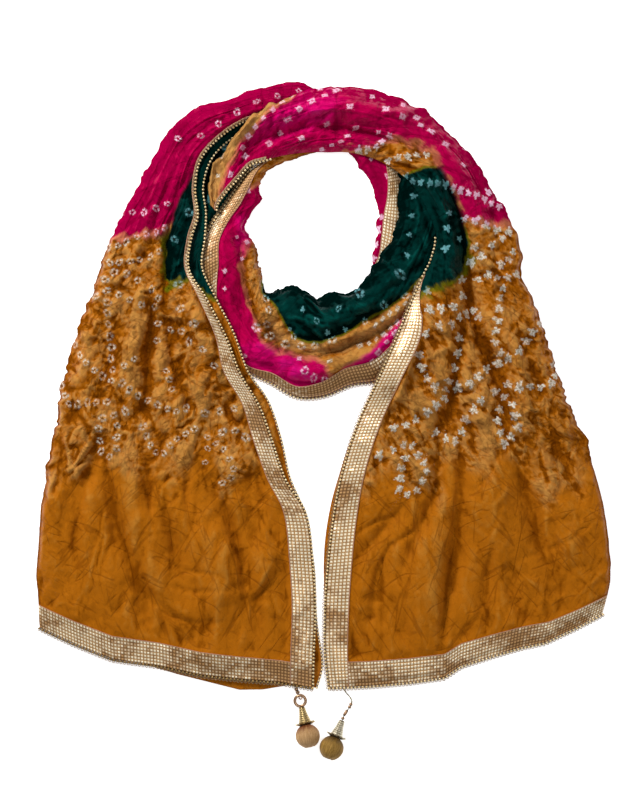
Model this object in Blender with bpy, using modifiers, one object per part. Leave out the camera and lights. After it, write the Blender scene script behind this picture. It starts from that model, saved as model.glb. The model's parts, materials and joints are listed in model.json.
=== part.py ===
"""A bandhani dupatta stole, wound once as round a neck and laid flat on a table.

Lengths in the tables are millimetres in the part's own frame: X to the right and Y up the table
from the middle of the object's box, Z up from the table. The cloth lies doubled along its
length, so each hanging end has a front layer and a back layer, and the winding between them is
a gathered roll. Every stretch of it is lofted through a short table of sections.
"""

import math
from typing import NamedTuple

import bmesh
import bpy
import numpy as np
from mathutils import Matrix, Vector
from mathutils.bvhtree import BVHTree

NAME = "dupatta_stole"
MM = 0.001

EDGE = 2.5              # thickness of the cloth at its edges, hem and selvedge together
GAP = 0.4               # clearance between a piece and what it is sewn to or lies against
LAY = 0.8               # clearance between two stretches that lie on each other
GOTA_THICK = 1.2        # woven metallic border with its piping
GOTA_ROWS = 2           # facets across a border
HEM_BORDER = 29.0       # width of the border along a hem
HEM_FADE = 200.0        # height over which a hem's curve dies away
OUTER_ROUND = 26.0      # width over which a stretch rounds down to its folded edge
INNER_ROUND = 46.0      # and to its bordered edge
PITCH = 4.0             # cell of the height map of what already lies on the table
TABLE = (-410.0, 410.0, -470.0, 470.0)


class Section(NamedTuple):
    """One station of a stretch, from its folded edge to its bordered edge."""

    outer_x: float
    outer_y: float
    inner_x: float
    inner_y: float
    rise: float          # height of the crown over the edges
    wall: float          # thickness of the cloth; a large one is solid down to what it lies on
    border: float        # width of the gota border as it shows from above


class Fold(NamedTuple):
    """A crease along a line: a negative depth is a valley, a positive one a ridge."""

    line: tuple
    depth: float
    width: float


LEFT_TAIL = (
    Section(-370, -270, -15, -348, 4, 2.5, 29),
    Section(-372, -228, -14, -305, 5, 2.5, 29),
    Section(-374, -201, -12, -253, 6, 2.5, 29),
    Section(-371, -155, -15, -188, 7, 2.5, 29),
    Section(-367, -103, -25, -119, 8, 2.5, 27),
    Section(-359, -51, -51, -77, 9, 2.5, 22),
    Section(-349, -6, -68, -27, 10, 3, 23),
    Section(-340, 50, -86, 21, 12, 4, 20),
    Section(-326, 97, -109, 60, 13, 8, 20),
    Section(-309, 146, -127, 107, 14, 16, 13),
    Section(-294, 193, -153, 158, 15, 30, 9),
    Section(-279, 235, -176, 198, 16, 40, 4),
    Section(-262, 272, -172, 237, 16, 40, 4),
    Section(-242, 307, -164, 265, 15, 40, 4),
    Section(-222, 345, -168, 301, 15, 40, 4),
    Section(-200, 379, -161, 339, 14, 40, 4),
    Section(-166, 406, -137, 367, 14, 40, 4),
    Section(-122, 418, -105, 388, 14, 40, 4),
    Section(-75, 434, -70, 397, 13, 40, 4),
    Section(-33, 440, -33, 400, 13, 40, 4),
    Section(0, 429, 0, 394, 12, 40, 4),
    Section(35, 420, 28, 388, 12, 40, 4),
    Section(70, 408, 56, 380, 11, 40, 4),
    Section(102, 390, 82, 366, 9, 40, 4),
)
LEFT_BACK = (
    Section(-353, -275, -10, -348, 0.4, 3, 0),
    Section(-358, -228, -3, -317, 0.6, 3, 0),
    Section(-361, -201, -10, -266, 0.6, 3, 0),
    Section(-358, -155, -14, -190, 0.6, 3, 0),
    Section(-354, -103, -28, -116, 0.6, 3, 0),
    Section(-345, -51, -45, -75, 0.8, 3, 0),
    Section(-332, -6, -57, -23, 1, 3, 0),
    Section(-304, 33, -73, 24, 1.5, 3, 0),
    Section(-258, 76, -99, 63, 2, 4, 0),
    Section(-226, 120, -118, 114, 3, 6, 0),
    Section(-213, 167, -142, 161, 4, 8, 0),
    Section(-205, 206, -159, 201, 4, 10, 0),
    Section(-198, 237, -155, 237, 4, 10, 0),
    Section(-192, 268, -154, 271, 4, 10, 0),
    Section(-187, 297, -158, 300, 4, 10, 0),
    Section(-180, 322, -154, 324, 4, 10, 0),
    Section(-168, 348, -142, 348, 4, 10, 0),
    Section(-153, 369, -124, 365, 4, 10, 0),
    Section(-133, 384, -106, 376, 4, 10, 0),
    Section(-111, 406, -80, 393, 4, 10, 0),
    Section(-85, 417, -57, 401, 3, 10, 0),
)
INNER_FOLD = (
    Section(-145, 157, -119, 162, 2, 40, 0),
    Section(-157, 196, -127, 198, 3, 40, 0),
    Section(-161, 228, -128, 231, 3, 40, 0),
    Section(-162, 261, -127, 258, 3, 40, 0),
    Section(-163, 287, -122, 283, 3, 40, 0),
    Section(-161, 319, -111, 302, 3, 40, 0),
    Section(-145, 352, -96, 326, 3, 40, 0),
    Section(-119, 380, -80, 352, 3, 40, 0),
    Section(-89, 401, -63, 365, 2, 40, 0),
)
BACK_ARC = (
    Section(28, 352, 71, 375, 8, 40, 13),
    Section(40, 340, 84, 362, 9, 40, 13),
    Section(50, 326, 92, 345, 10, 40, 13),
    Section(62, 313, 98, 323, 10, 40, 15),
    Section(71, 289, 102, 292, 10, 40, 15),
    Section(73, 271, 103, 266, 10, 40, 17),
    Section(68, 241, 99, 229, 9, 40, 19),
    Section(64, 219, 88, 206, 8, 40, 17),
    Section(59, 198, 75, 190, 6, 40, 13),
)
LOOP = (
    Section(93, 339, 136, 365, 9, 40, 3),
    Section(99, 313, 159, 339, 11, 40, 3),
    Section(99, 284, 175, 300, 12, 40, 3),
    Section(98, 258, 179, 263, 13, 40, 3),
    Section(84, 227, 175, 224, 14, 40, 3),
    Section(68, 203, 164, 188, 15, 40, 4),
    Section(53, 179, 144, 149, 16, 40, 10),
    Section(34, 168, 115, 97, 17, 40, 20),
    Section(14, 166, 77, 55, 18, 40, 26),
    Section(-8, 159, 37, 47, 18, 40, 22),
    Section(-25, 170, -2, 32, 18, 40, 17),
    Section(-41, 175, -33, 31, 18, 40, 13),
    Section(-58, 171, -67, 49, 18, 40, 12),
    Section(-72, 166, -101, 67, 17, 40, 16),
    Section(-79, 180, -124, 103, 16, 40, 20),
    Section(-83, 202, -144, 149, 15, 40, 24),
    Section(-90, 224, -158, 189, 15, 40, 24),
    Section(-97, 250, -157, 228, 14, 40, 24),
    Section(-93, 271, -145, 253, 13, 40, 24),
    Section(-81, 289, -132, 279, 12, 40, 22),
    Section(-84, 307, -124, 304, 11, 40, 16),
    Section(-75, 323, -108, 324, 9, 40, 10),
    Section(-53, 336, -86, 345, 7, 40, 5),
    Section(-31, 344, -56, 362, 6, 40, 4),
)
RIGHT_BACK = (
    Section(349, -249, 18, -340, 0.4, 3, 0),
    Section(358, -223, 5, -275, 0.6, 3, 0),
    Section(362, -197, 1, -214, 0.6, 3, 0),
    Section(359, -155, 2, -162, 0.6, 3, 0),
    Section(349, -110, 10, -110, 0.6, 3, 0),
    Section(335, -64, 23, -64, 0.6, 3, 0),
    Section(318, -15, 41, -12, 0.6, 3, 0),
    Section(298, 33, 64, 40, 0.6, 3, 0),
    Section(279, 85, 90, 89, 0.8, 3, 0),
    Section(265, 124, 112, 128, 1, 4, 0),
)
RIGHT_TAIL = (
    Section(363, -252, 8, -348, 4, 2.5, 26),
    Section(372, -218, 3, -301, 5, 2.5, 29),
    Section(374, -188, 3, -249, 6, 2.5, 30),
    Section(370, -142, 6, -201, 7, 2.5, 30),
    Section(361, -96, 14, -129, 8, 2.5, 29),
    Section(344, -36, 27, -64, 9, 2.5, 28),
    Section(326, 11, 46, -5, 11, 2.5, 28),
    Section(307, 58, 72, 53, 13, 3, 28),
    Section(291, 105, 97, 110, 15, 5, 28),
    Section(278, 146, 114, 151, 16, 10, 14),
    Section(263, 183, 127, 181, 17, 20, 6),
    Section(253, 226, 141, 211, 18, 40, 3),
    Section(239, 268, 146, 240, 18, 40, 3),
    Section(220, 302, 133, 276, 18, 40, 3),
    Section(197, 339, 115, 305, 18, 40, 3),
    Section(162, 378, 84, 331, 17, 40, 3),
    Section(123, 408, 58, 343, 17, 40, 3),
    Section(80, 424, 29, 349, 17, 40, 3),
    Section(34, 434, 6, 349, 17, 40, 3),
    Section(-5, 432, -15, 349, 16, 40, 3),
    Section(-44, 419, -44, 346, 14, 40, 3),
    Section(-77, 404, -75, 339, 13, 40, 3),
    Section(-106, 383, -96, 332, 11, 40, 3),
    Section(-127, 356, -112, 314, 9, 40, 3),
    Section(-142, 330, -127, 297, 7, 40, 3),
    Section(-149, 302, -138, 281, 5, 40, 3),
    Section(-146, 279, -140, 272, 4, 40, 2),
)

# How far a hem hangs below the straight line between its corners: (across, drop).
LEFT_HEM = ((0, 0), (0.13, 11), (0.27, 20), (0.44, 15), (0.59, 15), (0.74, 9), (0.88, 2), (1, 0))
LEFT_BACK_HEM = ((0, 0), (0.18, 15), (0.34, 17), (0.48, 21), (0.56, 20), (0.71, 16), (0.9, 2), (1, 0))
RIGHT_HEM = ((0, 0), (0.1, 9), (0.21, 17), (0.3, 15), (0.41, 16), (0.52, 18), (0.58, 27), (0.71, 21),
             (0.85, 12), (1, 0))
RIGHT_BACK_HEM = ((0, 0), (0.2, 12), (0.4, 12), (0.58, 22), (0.71, 18), (0.85, 9), (1, 0))

LEFT_FOLDS = (
    Fold(((-293, -25), (-311, -90), (-324, -161), (-319, -201)), -5, 13),
    Fold(((-285, -54), (-276, -105), (-262, -155), (-246, -203), (-223, -229)), -7, 14),
    Fold(((-237, -25), (-228, -64), (-226, -110)), -6, 12),
    Fold(((-215, -103), (-194, -161), (-189, -197)), -4, 13),
    Fold(((-177, -64), (-177, -103), (-174, -142)), -3, 12),
    Fold(((-154, -64), (-127, -123), (-107, -166), (-101, -214)), -5, 13),
    Fold(((-112, -38), (-79, -103), (-50, -175)), -4, 13),
    Fold(((-62, -203), (-89, -237), (-85, -272)), -4, 13),
    Fold(((-141, -257), (-175, -288)), -3, 12),
    Fold(((-242, -224), (-228, -272)), -4, 12),
    Fold(((-304, -64), (-309, -142), (-297, -233)), 4, 18),
    Fold(((-258, -64), (-226, -181), (-206, -246)), 4, 21),
    Fold(((-161, -129), (-141, -194), (-128, -246)), 5, 26),
    Fold(((-76, -181), (-80, -233)), 3, 16),
    Fold(((-226, 196), (-223, 118), (-231, 27), (-239, -25)), -8, 12),
    Fold(((-202, 222), (-207, 157), (-197, 79), (-174, 14)), -6, 11),
    Fold(((-265, 157), (-275, 92), (-280, 27)), -4, 12),
    Fold(((-245, 157), (-252, 92), (-245, 27)), 4, 13),
    Fold(((-189, 118), (-180, 66), (-176, 1)), -4, 11),
    Fold(((-154, 92), (-132, 27), (-109, -25)), -3, 12),
    Fold(((-179, 170), (-154, 105), (-128, 40)), 4, 12),
    Fold(((-306, 118), (-311, 53), (-304, 1)), 3, 13),
    Fold(((-202, 157), (-205, 206), (-200, 254), (-187, 300), (-171, 326)), -6, 10),
    Fold(((-239, 206), (-228, 254), (-213, 300), (-192, 339)), 4, 12),
    Fold(((-226, 222), (-213, 280), (-189, 332)), -4, 10),
    Fold(((-187, 352), (-148, 384), (-96, 406)), -3, 10),
)
RIGHT_FOLDS = (
    Fold(((180, -12), (177, -109), (170, -205), (155, -266)), -7, 14),
    Fold(((151, -6), (149, -84), (122, -148), (98, -205)), -6, 13),
    Fold(((254, -32), (266, -109), (285, -162), (302, -220)), -5, 13),
    Fold(((292, -12), (314, -58), (336, -103)), -4, 13),
    Fold(((218, -166), (211, -216), (201, -259)), -4, 13),
    Fold(((81, -171), (73, -214), (55, -279)), -4, 13),
    Fold(((84, -222), (118, -301)), -3, 12),
    Fold(((112, -101), (73, -148), (42, -184)), -4, 12),
    Fold(((194, -262), (175, -298)), -3, 12),
    Fold(((232, -180), (262, -266)), -4, 13),
    Fold(((216, -25), (219, -129), (229, -181)), 4, 23),
    Fold(((132, -129), (138, -220), (125, -285)), 5, 23),
    Fold(((314, -129), (327, -194)), 4, 21),
    Fold(((185, 205), (190, 157), (206, 98), (229, 46), (240, 1)), -10, 12),
    Fold(((185, 131), (175, 92), (168, 33), (162, -6)), -8, 12),
    Fold(((151, 157), (159, 105), (146, 40), (138, -6)), 4, 13),
    Fold(((216, 170), (236, 118), (258, 66), (275, 14)), 5, 16),
    Fold(((255, 118), (281, 53), (297, 1)), -3, 13),
    Fold(((125, 105), (115, 53), (97, 1)), -4, 12),
    Fold(((203, 40), (201, -12)), 4, 13),
    Fold(((194, 141), (188, 183), (185, 222), (179, 263), (168, 293), (149, 323)), -10, 10),
    Fold(((164, 196), (163, 241), (151, 280), (132, 309)), 4, 12),
    Fold(((216, 209), (209, 254), (190, 300), (162, 339), (125, 365)), 4, 13),
    Fold(((184, 310), (151, 328), (119, 352), (67, 369), (21, 380), (-31, 380), (-80, 365),
          (-109, 332)), -5, 9),
    Fold(((138, 374), (99, 393), (47, 404), (-18, 401), (-70, 384)), 4, 12),
    Fold(((229, 241), (214, 287), (190, 323)), -3, 10),
)
LOOP_FOLDS = (
    Fold(((151, 300), (161, 254), (151, 206)), -4, 11),
    Fold(((125, 313), (132, 267), (123, 222), (93, 189)), 3, 12),
    Fold(((142, 166), (116, 146), (73, 111), (21, 92), (-18, 89), (-54, 99), (-80, 124),
          (-96, 157), (-105, 196), (-109, 235)), -7, 9),
    Fold(((132, 176), (99, 157), (47, 124), (-5, 105), (-37, 107), (-59, 141), (-72, 162)), -5, 8),
    Fold(((106, 189), (60, 157), (8, 133), (-31, 137)), 4, 13),
    Fold(((99, 124), (54, 85), (8, 66), (-37, 66), (-76, 92), (-102, 131)), 4, 13),
)


class Stretch(NamedTuple):
    """How one stretch of cloth is cut into facets, and what shapes it."""

    sections: tuple
    stations: int        # rows of facets along it
    columns: int         # columns of facets across the cloth, the border not counted
    folds: tuple = ()
    hem: tuple = ()
    bordered: bool = True


LEFT_FRONT_CUT = Stretch(LEFT_TAIL, 44, 20, LEFT_FOLDS, LEFT_HEM)
LEFT_BACK_CUT = Stretch(LEFT_BACK, 26, 10, (), LEFT_BACK_HEM, False)
RIGHT_FRONT_CUT = Stretch(RIGHT_TAIL, 48, 20, RIGHT_FOLDS, RIGHT_HEM)
RIGHT_BACK_CUT = Stretch(RIGHT_BACK, 14, 10, (), RIGHT_BACK_HEM, False)
LOOP_CUT = Stretch(LOOP, 36, 8, LOOP_FOLDS)
BACK_ARC_CUT = Stretch(BACK_ARC, 9, 5)
INNER_FOLD_CUT = Stretch(INNER_FOLD, 10, 4, (), (), False)

# Rows of the loop at which one node ends and the next begins, and where its border starts.
LOOP_SPLITS = (9, 22)
LOOP_BORDER_FROM = 9
LEFT_BORDER_TO = 28
RIGHT_BORDER_TO = 24

CLOTH_MUSTARD = ("art_silk_mustard", (0.435, 0.138, 0.007), 0.55, 0.0)
CLOTH_PINK = ("art_silk_pink", (0.479, 0.0, 0.076), 0.5, 0.0)
CLOTH_GREEN = ("art_silk_green", (0.0, 0.048, 0.037), 0.5, 0.0)
GOTA = ("gota_border", (0.552, 0.332, 0.156), 0.35, 0.8)
BRASS = ("latkan_brass", (0.60, 0.45, 0.18), 0.3, 1.0)
BEADS = ("latkan_bead", (0.60, 0.35, 0.20), 0.3, 0.9)
THREAD_BALL = ("latkan_thread", (0.40, 0.20, 0.05), 0.7, 0.0)
STRING = ("latkan_string", (0.20, 0.18, 0.12), 0.7, 0.0)


def smooth_rows(knots: np.ndarray, rows: np.ndarray, at: np.ndarray) -> np.ndarray:
    """A smooth curve through rows of values, read at the given distances."""
    span = np.diff(knots)
    secant = np.diff(rows, axis=0) / span[:, None]
    slope = np.empty_like(rows)
    slope[0], slope[-1] = secant[0], secant[-1]
    before, after = span[:-1, None], span[1:, None]
    slope[1:-1] = (secant[:-1] * after + secant[1:] * before) / (before + after)
    k = np.clip(np.searchsorted(knots, at, side="right") - 1, 0, len(span) - 1)
    t = ((at - knots[k]) / span[k])[:, None]
    h = span[k][:, None]
    return ((2 * t ** 3 - 3 * t ** 2 + 1) * rows[k] + (t ** 3 - 2 * t ** 2 + t) * h * slope[k]
            + (3 * t ** 2 - 2 * t ** 3) * rows[k + 1] + (t ** 3 - t ** 2) * h * slope[k + 1])


def smoothstep(t: np.ndarray) -> np.ndarray:
    t = np.clip(t, 0.0, 1.0)
    return t * t * (3 - 2 * t)


def along_line(x: np.ndarray, y: np.ndarray, line: tuple) -> tuple[np.ndarray, np.ndarray]:
    """Distance of each point from a polyline, and how far along it the nearest place is, 0 to 1."""
    nodes = np.array(line, float)
    steps = np.diff(nodes, axis=0)
    lengths = np.linalg.norm(steps, axis=1)
    run = np.concatenate(([0.0], np.cumsum(lengths)))
    best = np.full(x.shape, np.inf)
    place = np.zeros(x.shape)
    for start, step, length, before in zip(nodes, steps, lengths, run):
        t = np.clip(((x - start[0]) * step[0] + (y - start[1]) * step[1]) / length ** 2, 0, 1)
        away = np.hypot(x - start[0] - t * step[0], y - start[1] - t * step[1])
        nearer = away < best
        best = np.where(nearer, away, best)
        place = np.where(nearer, (before + t * length) / run[-1], place)
    return best, place


def fold_relief(x: np.ndarray, y: np.ndarray, folds: tuple) -> np.ndarray:
    """Height that the folds add, each deepest in its middle and dying out at its ends."""
    relief = np.zeros(x.shape)
    for fold in folds:
        away, place = along_line(x, y, fold.line)
        taper = np.sqrt(np.clip(np.sin(math.pi * np.clip(place, 0.04, 0.96)), 0, 1))
        relief += fold.depth * taper * np.exp(-(away / fold.width) ** 2)
    return relief


class Pile:
    """The height of what already lies on the table, on a square grid of cells."""

    def __init__(self) -> None:
        x0, x1, y0, y1 = TABLE
        self.shape = (round((x1 - x0) / PITCH), round((y1 - y0) / PITCH))
        self.top = np.zeros(self.shape)

    def add(self, piece: bpy.types.Object) -> None:
        """Raise the map to the top of one solid."""
        points = [v.co / MM for v in piece.data.vertices]
        tree = BVHTree.FromPolygons(points, [tuple(p.vertices) for p in piece.data.polygons])
        spots = np.array(points)
        first = self.cell(spots[:, 0].min(), spots[:, 1].min())
        last = self.cell(spots[:, 0].max(), spots[:, 1].max())
        for i in range(first[0], last[0] + 1):
            for j in range(first[1], last[1] + 1):
                above = Vector((TABLE[0] + (i + 0.5) * PITCH, TABLE[2] + (j + 0.5) * PITCH, 999.0))
                hit = tree.ray_cast(above, Vector((0, 0, -1)))[0]
                if hit is not None:
                    self.top[i, j] = max(self.top[i, j], hit.z)

    def cell(self, x: float, y: float) -> tuple[int, int]:
        return (int((x - TABLE[0]) // PITCH), int((y - TABLE[2]) // PITCH))

    def spread(self, cells: int) -> np.ndarray:
        """The map with each high spot widened by a number of cells."""
        wide = self.top
        for axis in (0, 1):
            wide = np.max([np.roll(wide, k, axis) for k in range(-cells, cells + 1)], axis=0)
        return wide

    def soft(self, cells: int) -> np.ndarray:
        """A smooth map that is nowhere lower than the pile."""
        wide = self.spread(2 * cells)
        for axis in (0, 1):
            wide = np.mean([np.roll(wide, k, axis) for k in range(-cells, cells + 1)], axis=0)
        return wide

    def read(self, field: np.ndarray, x: np.ndarray, y: np.ndarray) -> np.ndarray:
        """A map's heights at points, blended between cell centres."""
        u = (x - TABLE[0]) / PITCH - 0.5
        v = (y - TABLE[2]) / PITCH - 0.5
        i, j = np.floor(u).astype(int), np.floor(v).astype(int)
        fu, fv = u - i, v - j
        return (field[i, j] * (1 - fu) * (1 - fv) + field[i + 1, j] * fu * (1 - fv)
                + field[i, j + 1] * (1 - fu) * fv + field[i + 1, j + 1] * fu * fv)


def settle(x: np.ndarray, y: np.ndarray, base: np.ndarray, pile: Pile) -> np.ndarray:
    """Raise a grid's underside until none of its facets comes nearer to the pile than LAY."""
    need = pile.spread(1)
    corners = (((0, 0), (1, 0), (1, 1)), ((0, 0), (1, 1), (0, 1)))
    steps = 6
    weights = [(a / steps, b / steps, (steps - a - b) / steps)
               for a in range(steps + 1) for b in range(steps + 1 - a)]
    base = base.copy()
    rows, cols = x.shape[0] - 1, x.shape[1] - 1
    for _ in range(40):
        lift = np.zeros_like(base)
        for triangle in corners:
            view = [(slice(i, i + rows), slice(j, j + cols)) for i, j in triangle]
            short = np.zeros((rows, cols))
            for mix in weights:
                px = sum(w * x[s] for w, s in zip(mix, view))
                py = sum(w * y[s] for w, s in zip(mix, view))
                pz = sum(w * base[s] for w, s in zip(mix, view))
                ground = pile.read(need, px, py)
                want = np.where(ground > 0.01, ground + LAY, 0.0)
                short = np.maximum(short, want - pz)
            for s in view:
                lift[s] = np.maximum(lift[s], short)
        if lift.max() < 0.01:
            break
        base += lift * 0.6
    return base + np.where(base > 0.01, 0.02, 0.0)


class Sheet:
    """One stretch of cloth as a grid of points: its top, its underside and its border's columns."""

    def __init__(self, cut: Stretch, pile: Pile) -> None:
        rows = np.array(cut.sections, float)
        moved = (np.linalg.norm(np.diff(rows[:, 0:2], axis=0), axis=1)
                 + np.linalg.norm(np.diff(rows[:, 2:4], axis=0), axis=1)) / 2
        knots = np.concatenate(([0.0], np.cumsum(moved)))
        if cut.hem:
            hem_rows = np.linspace(0, HEM_BORDER, GOTA_ROWS + 1)[:-1]
            stations = np.concatenate((hem_rows, np.linspace(HEM_BORDER, knots[-1],
                                                             cut.stations - GOTA_ROWS)))
        else:
            stations = np.linspace(0, knots[-1], cut.stations)
        data = smooth_rows(knots, rows, stations)
        outer, inner = data[:, 0:2], data[:, 2:4]
        width = np.linalg.norm(inner - outer, axis=1)
        border = np.clip(data[:, 6], 2.0, None) if cut.bordered else np.zeros(len(width))
        even = np.linspace(0, 1, cut.columns + 1)
        eased = 0.65 * even + 0.35 * (1 - np.cos(math.pi * even)) / 2
        across = eased[None, :] * (1 - border / width)[:, None]
        if cut.bordered:
            strip = np.linspace(0, 1, GOTA_ROWS + 1)[1:]
            tail = 1 - (border / width)[:, None] * (1 - strip)[None, :]
            across = np.hstack((across, tail))
        self.cloth_columns = cut.columns
        x = outer[:, :1] + (inner - outer)[:, :1] * across
        y = outer[:, 1:] + (inner - outer)[:, 1:] * across
        if cut.hem:
            drop = np.interp(across, *np.array(cut.hem, float).T)
            y = y - drop * smoothstep(1 - stations / HEM_FADE)[:, None]
        from_outer = across * width[:, None]
        from_inner = (1 - across) * width[:, None]
        half = width[:, None] / 2
        outer_turn = np.minimum(OUTER_ROUND, half)
        inner_turn = np.minimum(INNER_ROUND, half)
        crown = (np.sqrt(1 - (1 - np.clip(from_outer / outer_turn, 0, 1)) ** 2)
                 * np.sqrt(1 - (1 - np.clip(from_inner / inner_turn, 0, 1)) ** 2))
        calm = smoothstep(from_outer / OUTER_ROUND) * smoothstep(
            (from_inner - border[:, None]) / OUTER_ROUND)
        if cut.hem:
            calm = calm * smoothstep((stations - HEM_BORDER) / OUTER_ROUND)[:, None]
            near_hem = smoothstep(0.2 + stations / INNER_ROUND)[:, None]
            crown = crown * near_hem
        height = crown * data[:, 4:5] + calm * fold_relief(x, y, cut.folds)
        base = settle(x, y, pile.read(pile.soft(2), x, y), pile)
        top = base + EDGE + np.maximum(height, 0.0)
        wall = np.clip(data[:, 5:6], EDGE, None)
        under = np.maximum(base, top - wall)
        self.top = np.stack((x, y, top), axis=-1)
        self.under = np.stack((x, y, under), axis=-1)

    def part(self, rows: slice, first: bool = False, last: bool = False) -> tuple:
        """The points of some rows, their first or last row drawn back to leave a seam's gap."""
        return tuple(draw_back(grid[rows], 0, first, last) for grid in (self.top, self.under))

    def border(self, rows: slice, first: bool = False, last: bool = False) -> tuple:
        """A border on the cloth's last columns, made from its points and moved up."""
        grid = self.top[rows, self.cloth_columns:]
        return lifted(draw_back(grid, 0, first, last))

    def hem_border(self) -> tuple:
        """A border on the hem's first rows, ending just short of the long edge's border."""
        grid = self.top[:GOTA_ROWS + 1, :self.cloth_columns + 1]
        return lifted(draw_back(grid, 1, False, True))


def draw_back(grid: np.ndarray, axis: int, first: bool, last: bool) -> np.ndarray:
    """Move a grid's first or last line GAP towards the line beside it."""
    grid = np.moveaxis(grid.copy(), axis, 0)
    for use, end, beside in ((first, 0, 1), (last, -1, -2)):
        if use:
            step = grid[beside] - grid[end]
            length = np.linalg.norm(step[:, :2], axis=1, keepdims=True)
            grid[end] += step * GAP / length
    return np.moveaxis(grid, 0, axis)


def lifted(grid: np.ndarray) -> tuple:
    """The top and underside of a strip that lies on a grid of points."""
    up = np.array((0.0, 0.0, 1.0))
    return grid + up * (GAP + GOTA_THICK), grid + up * GAP


def principled(finish: tuple, owner: str) -> bpy.types.Material:
    name, colour, roughness, metallic = finish
    material = bpy.data.materials.new(f"{name}_{owner}")
    material.use_nodes = True
    shader = material.node_tree.nodes["Principled BSDF"]
    shader.inputs["Base Color"].default_value = (*colour, 1.0)
    shader.inputs["Roughness"].default_value = roughness
    shader.inputs["Metallic"].default_value = metallic
    return material


def collect(piece: bpy.types.Object, finish: tuple) -> bpy.types.Object:
    """Give a piece its material and move it into the object's collection."""
    piece.data.materials.clear()
    piece.data.materials.append(principled(finish, piece.name))
    for holder in list(piece.users_collection):
        holder.objects.unlink(piece)
    bpy.data.collections[NAME].objects.link(piece)
    return piece


def slab(name: str, faces: tuple, finish: tuple) -> bpy.types.Object:
    """A closed solid between two grids of points that share their plan, the first one on top."""
    top, under = (grid * MM for grid in faces)
    rows, cols = top.shape[:2]
    mesh = bmesh.new()
    upper = [[mesh.verts.new(top[i, j]) for j in range(cols)] for i in range(rows)]
    lower = [[mesh.verts.new(under[i, j]) for j in range(cols)] for i in range(rows)]
    for i in range(rows - 1):
        for j in range(cols - 1):
            for grid in (upper, lower):
                mesh.faces.new((grid[i][j], grid[i + 1][j], grid[i + 1][j + 1]))
                mesh.faces.new((grid[i][j], grid[i + 1][j + 1], grid[i][j + 1]))
    ring = ([(i, 0) for i in range(rows - 1)] + [(rows - 1, j) for j in range(cols - 1)]
            + [(i, cols - 1) for i in range(rows - 1, 0, -1)] + [(0, j) for j in range(cols - 1, 0, -1)])
    for (i, j), (m, n) in zip(ring, ring[1:] + ring[:1]):
        mesh.faces.new((upper[i][j], upper[m][n], lower[m][n], lower[i][j]))
    bmesh.ops.recalc_face_normals(mesh, faces=mesh.faces)
    data = bpy.data.meshes.new(name)
    mesh.to_mesh(data)
    mesh.free()
    if signed_volume(data) < 0:
        data.flip_normals()
    data.shade_smooth()
    data.set_sharp_from_angle(angle=math.radians(50))
    piece = bpy.data.objects.new(name, data)
    bpy.data.collections[NAME].objects.link(piece)
    return collect(piece, finish)


def signed_volume(data: bpy.types.Mesh) -> float:
    data.calc_loop_triangles()
    total = 0.0
    for triangle in data.loop_triangles:
        a, b, c = (data.vertices[k].co for k in triangle.vertices)
        total += a.dot(b.cross(c))
    return total / 6


def build_loop(pile: Pile) -> None:
    """The winding's lowest turn: right side, front under the chin and left side, with its border."""
    sheet = Sheet(LOOP_CUT, pile)
    right, front = LOOP_SPLITS
    pieces = [
        slab("loop_right", sheet.part(slice(0, right + 1), last=True), CLOTH_GREEN),
        slab("loop_front", sheet.part(slice(right, front + 1), last=True), CLOTH_GREEN),
        slab("loop_left", sheet.part(slice(front, None)), CLOTH_PINK),
        slab("gota_loop_front", sheet.border(slice(LOOP_BORDER_FROM, front + 1), last=True), GOTA),
        slab("gota_loop_left", sheet.border(slice(front, None)), GOTA),
    ]
    for piece in pieces:
        pile.add(piece)


def build_back_arc(pile: Pile) -> None:
    """The short stretch behind the right side of the neck, the lowest of all."""
    sheet = Sheet(BACK_ARC_CUT, pile)
    pile.add(slab("back_arc", sheet.part(slice(None)), CLOTH_PINK))
    pile.add(slab("gota_back_arc", sheet.border(slice(None)), GOTA))


def build_back_layer(name: str, cut: Stretch, finish: tuple, pile: Pile) -> None:
    """A stretch that shows only at its edge, from under the ones that lie on it."""
    pile.add(slab(name, Sheet(cut, pile).part(slice(None)), finish))


def build_front(side: str, cut: Stretch, border_to: int, pile: Pile) -> None:
    """A hanging end with its share of the winding, and its borders at the hem and the long edge."""
    sheet = Sheet(cut, pile)
    pile.add(slab(f"{side}_tail", sheet.part(slice(None)), CLOTH_MUSTARD))
    pile.add(slab(f"gota_{side}_hem", sheet.hem_border(), GOTA))
    pile.add(slab(f"gota_{side}_edge", sheet.border(slice(0, border_to)), GOTA))


class Latkan(NamedTuple):
    """A drop: its string from the hem, what is threaded on it, its cap and its ball."""

    side: str
    string: tuple        # the string's points from the hem, (x, y, z)
    beads: tuple         # (place along the string 0 to 1, outer radius, half length)
    ring: tuple          # the flat ring's centre (x, y, z), or empty
    tip: tuple           # the cap's narrow end
    ball: tuple          # the ball's centre


STRING_RADIUS = 0.5
BEAD_BORE = 0.85
RING_RADIUS, RING_WIRE = 7.4, 1.3
BALL_RADIUS = 15.3
CAP_TIP_RADIUS, CAP_RIM_RADIUS, CAP_FLANGE_RADIUS = 3.7, 9.2, 10.2
CAP_SEAT_RADIUS = 8.2   # where the cap's hollow seat meets its rim
CAP_FLANGE = 1.4

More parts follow.
